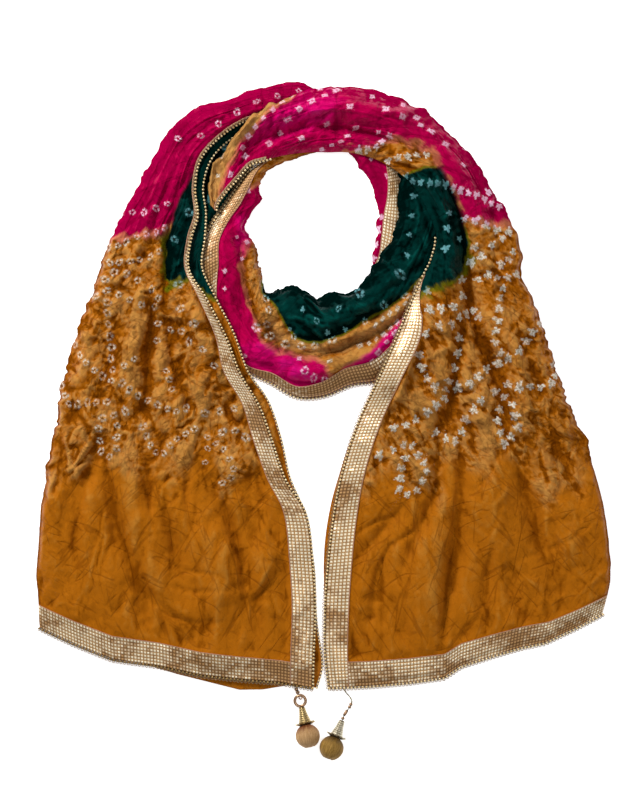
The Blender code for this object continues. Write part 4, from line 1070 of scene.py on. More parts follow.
    def wrinkles(self, x: np.ndarray, y: np.ndarray, where: np.ndarray, kind: Wrinkles
                 ) -> np.ndarray:
        """Height that single sharp wrinkles add, each a ridge with one steep side.

        Args:
            x: X of the points.
            y: Y of the points.
            where: How likely a wrinkle is at each point.
            kind: How many there are and what they are like.

        Returns:
            The height at every point; the painted shade at the foot of each wrinkle is added up on
            the cloth.
        """
        draw = np.random.default_rng(self.seed + 300 + int(kind.longest))
        area = float(self.width.mean() * self.s[-1])
        weight = np.clip(where, 0, 1).ravel() ** 2
        relief = np.zeros(x.shape)
        if weight.sum() < 1:
            return relief
        count = round(area * kind.density * weight.mean())
        for spot in draw.choice(weight.size, count, p=weight / weight.sum()):
            i, j = divmod(int(spot), x.shape[1])
            a, b = max(i - 5, 0), min(i + 5, x.shape[0] - 1)
            heading = (math.atan2(y[b, j] - y[a, j], x[b, j] - x[a, j])
                       + draw.normal(0, kind.spread))
            half = draw.uniform(kind.shortest, kind.longest) / 2
            near = (np.abs(x - x[i, j]) < half + 9) & (np.abs(y - y[i, j]) < half + 9)
            dx, dy = x[near] - x[i, j], y[near] - y[i, j]
            along = (dx * math.cos(heading) + dy * math.sin(heading)) / half
            off = (dy * math.cos(heading) - dx * math.sin(heading)
                   + draw.uniform(-0.3, 0.3) * half * along ** 2)
            off *= draw.choice((-1, 1))
            strength = np.clip(1 - along ** 2, 0, 1) * draw.uniform(0.4, 1.0)
            relief[near] += kind.height * strength * np.where(
                off > 0, np.exp(-(off / kind.foot) ** 2), np.exp(-(off / kind.back) ** 2))
            self.shaded_creases[near] += kind.shade * strength * np.exp(
                -((off - kind.foot) / (0.7 * kind.foot)) ** 2)
        return relief

    def fold_relief(self, x: np.ndarray, y: np.ndarray) -> np.ndarray:
        """Height that the listed creases add, each dying out at its ends."""
        relief = np.zeros(x.shape)
        for crease in self.creases:
            away, place = along_line(x, y, crease.line)
            taper = np.sqrt(np.clip(np.sin(math.pi * np.clip(place, 0.04, 0.96)), 0, 1))
            near = away / crease.width
            sharp = np.exp(-near ** 2) if crease.depth > 0 else np.exp(-1.5 * near ** 1.3)
            relief += self.CREASED * crease.depth * taper * sharp
        return relief

    def pucker(self, x: np.ndarray, y: np.ndarray) -> np.ndarray:
        """Height that the tied dots add, and each point's place in the dot nearest to it."""
        spots = self.dot_places()
        self.turn_with_cloth(spots, x, y)
        self.dot = np.full((*x.shape, 3), 9.0)
        self.knot = np.zeros(x.shape)
        if not len(spots):
            return np.zeros(x.shape)
        nearest = np.full(x.shape, 1e9)
        best = np.zeros(x.shape, int)
        for k, spot in enumerate(spots):
            away = (x - spot[0]) ** 2 + (y - spot[1]) ** 2
            nearer = away < nearest
            nearest = np.where(nearer, away, nearest)
            best = np.where(nearer, k, best)
        alone = np.ones(x.shape, bool)
        for axis, way in ((0, 1), (0, -1), (1, 1), (1, -1)):
            alone &= np.roll(best, way, axis) == best
        spot = spots[best]
        self.knot = alone * spot[..., 5]
        radius, turn = spot[..., 2], spot[..., 4]
        du, dv = (x - spot[..., 0]) / radius, (y - spot[..., 1]) / radius
        squash = 1.0 + 0.18 * np.sin(7.0 * turn)
        self.dot = np.stack(((du * np.cos(turn) + dv * np.sin(turn)) * squash,
                             (dv * np.cos(turn) - du * np.sin(turn)) / squash,
                             spot[..., 3] + 0.3 * np.sin(3.0 * turn)), axis=-1)
        away = np.hypot(du, dv)
        angle = np.arctan2(dv, du)
        peak = 1.5 * np.exp(-(away / 0.85) ** 2) - 0.9 * np.exp(-(away / 0.38) ** 2)
        moat = -0.5 * np.exp(-((away - 1.8) / 0.6) ** 2)
        rays = 0.4 * np.cos(5 * angle + 5 * turn) * np.exp(-((away - 1.6) / 0.8) ** 2)
        return peak + moat + rays

    @staticmethod
    def turn_with_cloth(spots: np.ndarray, x: np.ndarray, y: np.ndarray) -> None:
        """Turn each lozenge to lie along the cloth, which stretched while it was tied."""
        for spot in spots:
            if spot[3] == Knot.LOZENGE.value:
                i = np.argmin((x - spot[0]) ** 2 + (y - spot[1]) ** 2) // x.shape[1]
                j = x.shape[1] // 2
                a, b = max(i - 3, 0), min(i + 3, x.shape[0] - 1)
                spot[4] = math.atan2(y[b, j] - y[a, j], x[b, j] - x[a, j]) + spot[4] * 0.08

    def dot_places(self) -> np.ndarray:
        """Every tied dot: x, y, radius, kind, turn and strength, jittered off its line."""
        draw = np.random.default_rng(self.seed + 100)
        found = []
        for line in self.dots:
            for x, y in resample(np.array(line.line, float), line.pitch):
                x, y = (x, y) + draw.normal(0, self.KNOT_SHIFT, 2)
                radius = line.radius * draw.uniform(0.85, 1.2) * KNOT_SIZES[line.knot]
                if all(math.hypot(x - a[0], y - a[1]) > self.CLEAR * (radius + a[2])
                       for a in found):
                    found.append((x, y, radius, line.knot.value, draw.uniform(0, 6.28),
                                  draw.uniform(0.6, 1.0)))
        return np.array(found)

    def at(self, s: np.ndarray, t: np.ndarray) -> np.ndarray:
        """Points of the laid cloth.

        Args:
            s: Distance along the cloth of each point.
            t: Share of the way across it, from the folded edge.

        Returns:
            The points, as (..., 3).
        """
        i = np.clip(np.searchsorted(self.s, s, side="right") - 1, 0, len(self.s) - 2)
        j = np.clip(np.searchsorted(self.t, t, side="right") - 1, 0, len(self.t) - 2)
        fi = ((s - self.s[i]) / (self.s[i + 1] - self.s[i]))[..., None]
        fj = ((t - self.t[j]) / (self.t[j + 1] - self.t[j]))[..., None]
        return blend(self.places, i, j, fi, fj)

    def edge(self, low: float, high: float, lift: float) -> np.ndarray:
        """Points along the bordered edge between two distances, lifted off it."""
        s = np.arange(max(low, 0.0), min(high, self.s[-1]), GRAIN)
        points = self.at(s, np.ones(len(s)))
        points[:, 2] += lift
        return points

    def hem_edge(self, lift: float) -> np.ndarray:
        """Points along the hem from the folded edge to the bordered one, lifted off it."""
        t = np.linspace(0, 1, 160)
        points = self.at(np.zeros(len(t)), t)
        points[:, 2] += lift
        return points

    @staticmethod
    def turned_under(values: np.ndarray) -> np.ndarray:
        """Two more lines of values all round a grid, each a copy of its edge."""
        pad = [(2, 2), (2, 2)] + [(0, 0)] * (values.ndim - 2)
        return np.pad(values, pad, mode="edge")

    def build(self, finish: bpy.types.Material) -> bpy.types.Object:
        """Make the cloth's mesh, its edges turned under.

        Args:
            finish: The silk's material.

        Returns:
            The cloth.
        """
        places = self.turned_under(self.places)
        drop = np.zeros(places.shape[:2])
        for axis in (0, 1):
            for edge, inner, sign in ((0, 3, 1), (-1, -4, -1)):
                line = np.moveaxis(places, axis, 0)
                step = line[2 * sign if sign > 0 else -3] - line[inner]
                step[..., 2] = 0
                length = np.linalg.norm(step, axis=-1, keepdims=True)
                step = step / np.maximum(length, 1e-6)
                line[edge + sign] += step * 0.5
                line[edge] -= step * self.TUCK
                fall = np.moveaxis(drop, axis, 0)
                fall[edge + sign] = np.maximum(fall[edge + sign], 0.45)
                fall[edge] = 1.0
        floor = self.turned_under(self.places[..., 2] - SILK_THICK * self.THIN)
        floor = np.maximum(floor, 0.0)
        places[..., 2] = places[..., 2] * (1 - drop) + (floor + 0.15) * drop
        piece = grid_piece(self.name, places)
        give_uv(piece, self.turned_under(self.cloth_s), self.turned_under(self.cloth_c))
        dye = np.concatenate((self.dye, np.ones((*self.pale.shape, 1))), axis=-1)
        for name, values in (("dye", dye), ("pale", self.pale), ("dot", self.dot),
                             ("knot", self.knot), ("tone_and_painted_shade", self.tone_and_painted_shade), ("slack", self.slack)):
            values = self.turned_under(values)
            # Painted shade: the turned-under rows get the darkest tone.
            if name == "tone_and_painted_shade":
                values[drop > 0] = 0.0
            give_attribute(piece, name, values)
        return declare(piece, finish, self.replaces)


# ---------------------------------------------------------------------------------------------
# Gota ribbon, its piping and its beaded edge
# ---------------------------------------------------------------------------------------------

class Run(Enum):
    """Which edge of a stretch a ribbon follows."""

    EDGE = "edge"
    HEM = "hem"


@dataclass
class Ribbon:
    """A woven metallic ribbon sewn along an edge: rows of small flat squares of foil thread."""

    name: str
    cloth: Cloth
    run: Run
    replaces: tuple[str, ...]
    start: float = 0.0       # distance along the cloth where it begins
    end: float = END
    tiles: int = 6           # squares across it
    painted_glint: float = 0.0      # how much brighter its foil's painted glint is than most
    taper: float = 1.0       # length over which it narrows to its far end
    seed: int = 1
    hem_width: float = 29.0

    PITCH = 4.3              # one square of the weave
    LIFT = 0.9               # the ribbon's ground over the silk
    SQUARE = 0.42            # a square over the ribbon's ground
    TILT = 0.05              # spread of the squares' slopes
    CUTS = (0.0, 0.28, 0.5, 0.72)
    TONE = 0.64              # mean painted glint of a square of foil
    WIDTH = 26               # millimetres across its unwrap
    READINGS = 1200

    def lines(self) -> tuple[Callable, float]:
        """The ribbon's surface as a function of distance along it and share across it."""
        cloth = self.cloth
        if self.run is Run.EDGE:
            low, high = max(self.start, 0.0), min(self.end, cloth.s[-1])
            fine = np.linspace(low, high, self.READINGS)
            share = (np.interp(fine, cloth.s, cloth.border / cloth.width)
                     * np.clip((high - fine) / self.taper, 0.12, 1))
            run = run_along(cloth.at(fine, 1 - share / 2))

            def place(along: np.ndarray, q: np.ndarray) -> np.ndarray:
                s = np.interp(along, run, fine)
                return cloth.at(s, 1 - np.interp(s, fine, share) * (1 - q))
        else:
            fine = np.linspace(0, 1 - cloth.border[0] / cloth.width[0], self.READINGS)
            run = run_along(cloth.at(np.full(self.READINGS, self.hem_width / 2), fine))

            def place(along: np.ndarray, q: np.ndarray) -> np.ndarray:
                return cloth.at((1 - q) * self.hem_width, np.interp(along, run, fine))
        return place, float(run[-1])

    def build(self, finish: bpy.types.Material) -> bpy.types.Object:
        """Make the ribbon's mesh.

        Args:
            finish: The foil weave's material.

        Returns:
            The ribbon.
        """
        place, length = self.lines()
        draw = np.random.default_rng(self.seed)
        count = max(2, round(length / self.PITCH))
        u, v = (np.append((np.arange(squares)[:, None] + np.array(self.CUTS)).ravel(), squares)
                for squares in (count, self.tiles))
        along, q = np.meshgrid(u / count * length, v / self.tiles, indexing="ij")
        places = place(along, q)
        i = np.minimum(u.astype(int), count - 1)
        j = np.minimum(v.astype(int), self.tiles - 1)
        fu, fv = (u - np.floor(u))[:, None], (v - np.floor(v))[None, :]
        shape, own = (count, self.tiles), np.ix_(i, j)
        tilt_u, tilt_v = (draw.normal(0, self.TILT, shape)[own] for _ in range(2))
        bands = blurred(blurred(draw.normal(0, 1, shape), 4), 2)
        # Painted glint: each square's brightness, random, in slow bands and raised by the ribbon's
        # own amount.
        tone = (self.TONE + self.painted_glint + 0.5 * (draw.random(shape) - 0.5)
                + 0.26 * bands / bands.std())
        tone = np.clip(tone, 0, 1)[own]
        face = (fu > 0.01) & (fv > 0.01)
        square = np.where(face, self.SQUARE + self.PITCH * (tilt_u * (fu - 0.5)
                                                            + tilt_v * (fv - 0.5)), 0.0)
        places[..., 2] += self.LIFT + square
        rim = places.copy()
        rim[..., 2] -= self.LIFT + square
        full, low = self.rimmed(places), self.rimmed(rim)
        for cut in ((0, slice(None)), (-1, slice(None)), (slice(None), 0), (slice(None), -1)):
            full[cut] = low[cut]
        piece = grid_piece(self.name, full)
        shade = np.stack((tone, face.astype(float), draw.random(tone.shape),
                          np.ones(tone.shape)), axis=-1)
        give_attribute(piece, "weave", self.rimmed(shade))
        give_uv(piece, self.rimmed(along), self.rimmed(q * self.WIDTH))
        return declare(piece, finish, self.replaces)

    @staticmethod
    def rimmed(values: np.ndarray) -> np.ndarray:
        """One more line of values all round a grid, for the ribbon's thickness."""
        return np.pad(values, [(1, 1), (1, 1)] + [(0, 0)] * (values.ndim - 2), mode="edge")

    def edge_line(self, q: float, lift: float) -> np.ndarray:
        """A line of points along the ribbon at a share across it, lifted off it."""
        place, length = self.lines()
        along = np.linspace(0, length, max(8, round(length / GRAIN)))
        points = place(along, np.full(along.shape, q))
        points[:, 2] += lift
        return points


def swept(name: str, lines: list[np.ndarray], radius: float, sides: int = 1) -> bpy.types.Object:
    """Round cords along lines of points, as one mesh.

    Args:
        name: Name of the piece.
        lines: Lines of points in millimetres.
        radius: Radius of the cord in millimetres.
        sides: The curve's bevel resolution.

    Returns:
        The new object.
    """
    curve = bpy.data.curves.new(name, "CURVE")
    curve.dimensions = "3D"
    curve.bevel_depth = radius * MM
    curve.bevel_resolution = sides
    curve.use_fill_caps = True
    for line in lines:
        spline = curve.splines.new("POLY")
        spline.points.add(len(line) - 1)
        spline.points.foreach_set("co", np.column_stack((line * MM, np.ones(len(line)))).ravel())
    holder = placed(name, curve)
    data = bpy.data.meshes.new_from_object(holder)
    bpy.data.objects.remove(holder)
    data.name = name
    data.shade_smooth()
    return placed(name, data)


@dataclass
class BeadEdge:
    """Small gold beads on a dark cord along an edge, with picot loops of thread outside them."""

    name: str
    line: np.ndarray         # points in millimetres
    side: int                # 1 if outside is to the right of the line's way, else -1
    loops: bool = True

    PITCH = 4.8
    BEAD = 1.7
    CORD = 0.8
    OUT = 1.4                # the beads' distance from the edge
    SUNK = 0.9               # how far the cord's middle is under the beads'
    LOOP = 3.4               # how far a picot loop reaches beyond the beads
    LOOP_HALF = 2.0          # half of its width
    LOOP_SUNK = 0.5
    THREAD = 0.5

    def build(self, gold: bpy.types.Material, cord: bpy.types.Material,
              thread: bpy.types.Material) -> None:
        """String the beads along the line.

        Args:
            gold: The beads' material.
            cord: Material of the cord under the beads.
            thread: The loops' material.
        """
        points = resample(self.line, self.PITCH)
        ahead = np.gradient(points, axis=0)
        ahead /= np.linalg.norm(ahead, axis=1, keepdims=True)
        out = np.stack((ahead[:, 1], -ahead[:, 0], 0 * ahead[:, 0]), axis=1) * self.side
        points = points + out * self.OUT
        mesh = bmesh.new()
        for point in points:
            bmesh.ops.create_uvsphere(mesh, u_segments=7, v_segments=5, radius=self.BEAD * MM,
                                      matrix=Matrix.Translation(Vector(point) * MM))
        declare(piece_from(f"{self.name}_beads", mesh), gold)
        sunk = points - np.array((0, 0, self.SUNK))
        declare(swept(f"{self.name}_cord", [sunk], self.CORD), cord)
        if self.loops:
            angle = np.linspace(0, math.pi, 5)
            loops = [point + np.outer(np.cos(angle), forward) * self.LOOP_HALF
                     + np.outer(np.sin(angle), away) * self.LOOP
                     - np.array((0, 0, self.LOOP_SUNK))
                     for point, forward, away in zip(points, ahead, out)]
            declare(swept(f"{self.name}_picot", loops, self.THREAD, 0), thread)


# ---------------------------------------------------------------------------------------------
# Latkans, the drops at the corners
# ---------------------------------------------------------------------------------------------

def stood(at: np.ndarray, axis: np.ndarray) -> Matrix:
    """The move that stands something made up the Z axis at a place, along another axis."""
    turn = Vector(axis).to_track_quat("Z", "Y").to_matrix().to_4x4()
    return Matrix.Translation(Vector(at) * MM) @ turn


def spun(name: str, profile: list, steps: int, at: np.ndarray, axis: np.ndarray
         ) -> bpy.types.Object:
    """Turn a profile all the way round an axis.

    Args:
        name: Name of the piece.
        profile: (radius, height) pairs in millimetres, along the axis.
        steps: Steps of the turn.
        at: Where the profile's zero height stands.
        axis: Direction of the axis.

    Returns:
        The new object.
    """
    mesh = bmesh.new()
    corners = [mesh.verts.new((radius * MM, 0.0, height * MM)) for radius, height in profile]
    edges = [mesh.edges.new(pair) for pair in zip(corners, corners[1:])]
    bmesh.ops.spin(mesh, geom=corners + edges, cent=(0, 0, 0), axis=(0, 0, 1),
                   angle=math.tau, steps=steps, use_merge=True)
    bmesh.ops.remove_doubles(mesh, verts=mesh.verts, dist=1e-6)
    bmesh.ops.recalc_face_normals(mesh, faces=mesh.faces)
    mesh.transform(stood(at, axis))
    return piece_from(name, mesh)


@dataclass
class Latkan:
    """A drop: its cord from the hem, what is threaded on it, its cap and its thread ball."""

    side: str
    string: tuple            # the cord's points from the hem, (x, y, z)
    beads: tuple             # (place along the cord 0 to 1, radius, half length)
    ring: tuple              # centre of the flat ring, or empty
    tip: tuple               # the cap's narrow end
    ball: tuple              # the ball's centre

    STRAND = 0.55
    TWIST = 0.45             # how far a strand's middle is from the cord's
    TURN = 0.55              # radians that the strands turn in a millimetre
    LEAST_CORD = 0.03        # metres
    BORE = 0.85
    RING_RADIUS = 7.1
    RING_WIRE = 1.9
    HOOK_RADIUS = 1.9
    HOOK_WIRE = 0.75
    BALL = 16.1
    CAP_TIP = 3.7
    CAP_RIM = 8.4
    CAP_FLANGE = 9.9
    CAP_SEAT = 7.6
    CAP_RIDGES = 7
    PETALS = 8
    PETAL = 6.2              # length of a petal of the collar
    LEAN = 76                # degrees that a petal leans out

    def piece(self, name: str) -> str:
        """A piece's or a node's name on this drop."""
        return f"latkan_{self.side}_{name}"

    @staticmethod
    def heights(piece: bpy.types.Object, at: np.ndarray, axis: np.ndarray) -> np.ndarray:
        """How far each of a piece's vertices is from a place, along an axis."""
        way = Vector(axis).normalized()
        return np.array([(vert.co / MM - Vector(at)).dot(way) for vert in piece.data.vertices])

    def build(self, brass: bpy.types.Material, bead: bpy.types.Material,
              wound: bpy.types.Material, cord: bpy.types.Material) -> None:
        """Make the drop.

        Args:
            brass: The cap's material.
            bead: Material of the beads and the ring.
            wound: The ball's wound thread.
            cord: The cord.
        """
        self.build_cord(cord)
        self.build_beads(bead)
        if self.ring:
            self.build_ring(bead)
        self.build_cap(brass)
        self.build_ball(wound)
        self.declare_cord()

    def route(self) -> np.ndarray:
        """A smooth run of points through the cord's own."""
        nodes = np.array(self.string, float)
        run = run_along(nodes)
        return smooth_rows(run, nodes, np.linspace(0, run[-1], max(12, round(run[-1]))))

    def build_cord(self, cord: bpy.types.Material) -> None:
        """Two strands twisted round each other."""
        route = self.route()
        turn = np.linspace(0, len(route) * self.TURN, len(route))
        strands = []
        for start in (0.0, math.pi):
            strand = route.copy()
            strand[:, 0] += self.TWIST * np.cos(turn + start)
            strand[:, 2] += self.TWIST * np.sin(turn + start) + 0.3
            strands.append(strand)
        declare(swept(self.piece("cord"), strands, self.STRAND, 1), cord,
                (self.piece("string"),))

    def declare_cord(self) -> None:
        route = self.route() * MM
        length = float(np.linalg.norm(np.diff(route, axis=0), axis=1).sum())
        if length < self.LEAST_CORD:
            return

    def build_beads(self, bead: bpy.types.Material) -> None:
        """The beads threaded on the cord, each with a rounded waist."""
        route = self.route()
        run = run_along(route)
        for number, (share, radius, half) in enumerate(self.beads, start=1):
            spots = [np.array([np.interp(share * run[-1] + move, run, route[:, k])
                               for k in range(3)]) for move in (-half, 0.0, half)]
            profile = [(self.BORE + (radius - self.BORE) * max(0.0, math.sin(a)) ** 0.6,
                        half * 1.15 * math.cos(a)) for a in np.linspace(0, math.pi, 13)]
            axis = spots[2] - spots[0]
            piece = spun(self.piece(f"threaded_{number}"), profile, 24, spots[1], axis)
            # Painted shade: each bead is darker towards its narrow ends on the cord.
            give_attribute(piece, "tone_and_painted_shade",
                           np.abs(self.heights(piece, spots[1], axis)) / (half * 1.15))
            declare(piece, bead, (self.piece(f"bead_{number}"),))

    def build_ring(self, bead: bpy.types.Material) -> None:
        """A ring of round wire with a flattened face."""
        section = [(self.RING_RADIUS + self.RING_WIRE * math.cos(a),
                    self.RING_WIRE * 0.85 * math.sin(a))
                   for a in np.linspace(0, math.tau, 13)]
        piece = spun(self.piece("wire_ring"), section, 48, np.array(self.ring),
                     np.array((0.0, 0.0, 1.0)))
        declare(piece, bead, (self.piece("ring"),))
        section = [(self.HOOK_RADIUS + self.HOOK_WIRE * math.cos(a),
                    self.HOOK_WIRE * math.sin(a)) for a in np.linspace(0, math.tau, 9)]
        hook = spun(self.piece("hook_ring"), section, 24,
                    np.array(self.ring) + (0.4, 4.2, 1.6), np.array((0.2, 0.3, 1.0)))
        declare(hook, bead)

    def build_cap(self, brass: bpy.types.Material) -> None:
        """A ridged cone over the ball, with a collar of small petals."""
        tip, ball = np.array(self.tip), np.array(self.ball)
        reach = float(np.linalg.norm(ball - tip))
        seat = math.sqrt((self.BALL + 0.4) ** 2 - self.CAP_SEAT ** 2)
        profile = [(1.2, reach - 1.2), (1.5, reach + 0.3), (self.CAP_TIP - 0.5, reach + 0.3),
                   (self.CAP_TIP, reach - 0.3)]
        low, high = seat + 2.6, reach - 1.4
        for step in np.linspace(0, 1, self.CAP_RIDGES * 6 + 1):
            flare = self.CAP_TIP + 0.3 + (self.CAP_RIM - self.CAP_TIP - 0.6) * step ** 1.35
            ridge = 0.7 * abs(math.sin(math.pi * self.CAP_RIDGES * step))
            profile.append((flare + ridge - 0.35, high + (low - high) * step))
        profile += [(self.CAP_RIM + 0.3, seat + 1.9), (self.CAP_FLANGE, seat + 1.3),
                    (self.CAP_FLANGE, seat + 0.5), (self.CAP_RIM, seat),
                    (self.CAP_SEAT, seat)]
        axis = tip - ball
        cap = spun(self.piece("ridged_cap"), profile, 48, ball, axis)
        step = np.clip((high - self.heights(cap, ball, axis)) / (high - low), 0, 1)
        # Marks the grooves between the ridges, which the plating makes darker.
        give_attribute(cap, "tone_and_painted_shade", 1 - np.abs(np.sin(math.pi * self.CAP_RIDGES * step)))
        declare(cap, brass, (self.piece("cap"),))
        mesh = bmesh.new()
        lean = Matrix.Rotation(math.radians(self.LEAN), 4, "Y")
        stand = Matrix.Translation(Vector((self.CAP_FLANGE - 1.6, 0, seat + 1.2)) * MM)
        squash = Matrix.Diagonal((0.45, 1.0, 1.0, 1.0))
        rise = Matrix.Translation(Vector((0, 0, self.PETAL / 2)) * MM)
        for k in range(self.PETALS):
            around = Matrix.Rotation(math.tau * (k + 0.3) / self.PETALS, 4, "Z")
            bmesh.ops.create_cone(mesh, cap_ends=True, segments=8, radius1=3.3 * MM,
                                  radius2=0.7 * MM, depth=self.PETAL * MM,
                                  matrix=stood(ball, axis) @ around @ stand @ lean @ rise
                                  @ squash)
        declare(piece_from(self.piece("collar"), mesh), brass)

    def build_ball(self, wound: bpy.types.Material) -> None:
        """A ball of wound thread, a little flat and lumpy, with ridges where strands cross."""
        ball = np.array(self.ball)
        mesh = bmesh.new()
        bmesh.ops.create_uvsphere(mesh, u_segments=72, v_segments=48, radius=1.0)
        axis = Vector(np.array(self.tip) - ball).normalized()
        turn = axis.to_track_quat("Z", "Y").to_matrix()
        winding = []
        for vert in mesh.verts:
            x, y, z = vert.co
            around = math.atan2(y, x)
            winding.append((around, z, 0.0))
            lumps = (0.22 * math.sin(3 * around + 2 * z) + 0.16 * math.sin(5 * around - 4 * z)
                     + 0.12 * math.sin(26 * around + 9 * z) * math.sqrt(max(0.0, 1 - z * z)))
            radius = self.BALL - 0.5 + lumps - (0.9 if z < -0.93 else 0.0)
            vert.co = turn @ Vector((x, y, z)) * radius * MM + Vector(ball) * MM
        wool = piece_from(self.piece("thread_ball"), mesh)
        give_attribute(wool, "winding", np.array(winding))
        declare(wool, wound, (self.piece("ball"),))


# ---------------------------------------------------------------------------------------------
# Finishes
# ---------------------------------------------------------------------------------------------

def linear(code: str) -> tuple[float, float, float, float]:
    """Turn an sRGB hex colour to linear values with an alpha of 1."""
    parts = [int(code[k:k + 2], 16) / 255 for k in (1, 3, 5)]
    return (*(p / 12.92 if p <= 0.04045 else ((p + 0.055) / 1.055) ** 2.4 for p in parts), 1.0)


# What a node does: its kind, its settings, its inputs in the order of use and its output.
NODES = {
    **{word: ("Math", {"operation": operation}, (0, 1, 2), 0) for word, operation in (
        ("plus", "ADD"), ("minus", "SUBTRACT"), ("times", "MULTIPLY"), ("over", "DIVIDE"),
        ("most", "MAXIMUM"), ("size", "ABSOLUTE"), ("root", "SQRT"), ("sine", "SINE"),
        ("cosine", "COSINE"), ("angle", "ARCTAN2"), ("times plus", "MULTIPLY_ADD"))},
    **{word: ("VectorMath", {"operation": operation}, (0, 1, 2), output)
       for word, operation, output in (
           ("vector minus", "SUBTRACT", 0), ("vector times", "MULTIPLY", 0),
           ("vector times plus", "MULTIPLY_ADD", 0), ("dot product", "DOT_PRODUCT", "Value"))},
    **{name: ("Attribute", {"attribute_name": name}, (), output) for name, output in (
        ("tone_and_painted_shade", "Fac"), ("slack", "Fac"), ("pale", "Fac"), ("knot", "Fac"), ("dye", "Color"),
        ("weave", "Color"), ("dot", "Vector"), ("winding", "Vector"))},
    "mix": ("Mix", {"data_type": "RGBA"}, (0, 6, 7), 2),
    "darken": ("Mix", {"data_type": "RGBA", "blend_type": "MULTIPLY"}, (0, 6, 7), 2),
    "span": ("MapRange", {"interpolation_type": "SMOOTHSTEP"}, (0, 1, 2, 3, 4), 0),
    "scale": ("MapRange", {"interpolation_type": "LINEAR"}, (0, 1, 2, 3, 4), 0),
    "noise": ("TexNoise", {}, ("Vector", "Scale", "Detail", "Roughness"), 0),
    "bend": ("TexNoise", {}, ("Vector", "Scale", "Detail"), 1),
    "cells": ("TexVoronoi", {"voronoi_dimensions": "2D"}, ("Vector", "Scale"), None),
    "bands": ("TexWave", {"wave_type": "BANDS", "bands_direction": "DIAGONAL"},
              ("Vector", "Scale", "Distortion", "Detail"), 1),
    "channels": ("SeparateColor", {}, (0,), None),
    "parts": ("SeparateXYZ", {}, (0,), None),
    "vector": ("CombineXYZ", {}, (0, 1, 2), 0),
    "unwrap": ("UVMap", {"uv_map": "cloth"}, (), 0),
    "turned": ("Mapping", {}, ("Vector", "Rotation"), 0),
    "scaled": ("Mapping", {}, ("Vector", "Scale"), 0),
    "place": ("TexCoord", {}, (), "Object"),
    "bump": ("Bump", {}, ("Height", "Distance", "Strength", "Normal"), 0),
}


class NodeBook:
    """A material being written, node by node."""

    def __init__(self, name: str) -> None:
        """Start an empty material with a surface shader."""
        self.material = bpy.data.materials.new(name)
        self.material.use_nodes = True
        self.tree = self.material.node_tree
        self.shader = self.tree.nodes["Principled BSDF"]

    def feed(self, node: bpy.types.Node, inputs: dict[int | str, object]) -> None:
        """Set a node's inputs, by value, by socket or by the hex code of a colour."""
        for name, value in inputs.items():
            value = linear(value) if isinstance(value, str) else value
            if isinstance(value, bpy.types.NodeSocket):
                self.tree.links.new(value, node.inputs[name])
            else:
                node.inputs[name].default_value = value

    def add(self, word: str, *values: object) -> object:
        """Add a node with its settings and its inputs.

        Args:
            word: What the node does, as in NODES.
            values: Its inputs, in the order that NODES has them; the last ones may be left out.

        Returns:
            The output that NODES names, or all of them.
        """
        kind, settings, inputs, output = NODES[word]
        node = self.tree.nodes.new(f"ShaderNode{kind}")
        for name, value in settings.items():
            setattr(node, name, value)
        self.feed(node, dict(zip(inputs, values)))
        return node.outputs if output is None else node.outputs[output]

    def cloth_vector(self, along: float, across: float, slant: float | None = None
                     ) -> bpy.types.NodeSocket:
        """The piece's own unwrap, turned if asked and scaled along and across the cloth."""
        uv = self.add("unwrap")
        if slant is not None:
            uv = self.add("turned", uv, (0.0, 0.0, slant))
        return self.add("scaled", uv, (along, across, 1.0))

    def surface(self, **inputs: object) -> bpy.types.Material:
        """Set the shader's inputs, and hand over the material."""
        self.feed(self.shader, {name.replace("_", " "): value for name, value in inputs.items()})
        return self.material


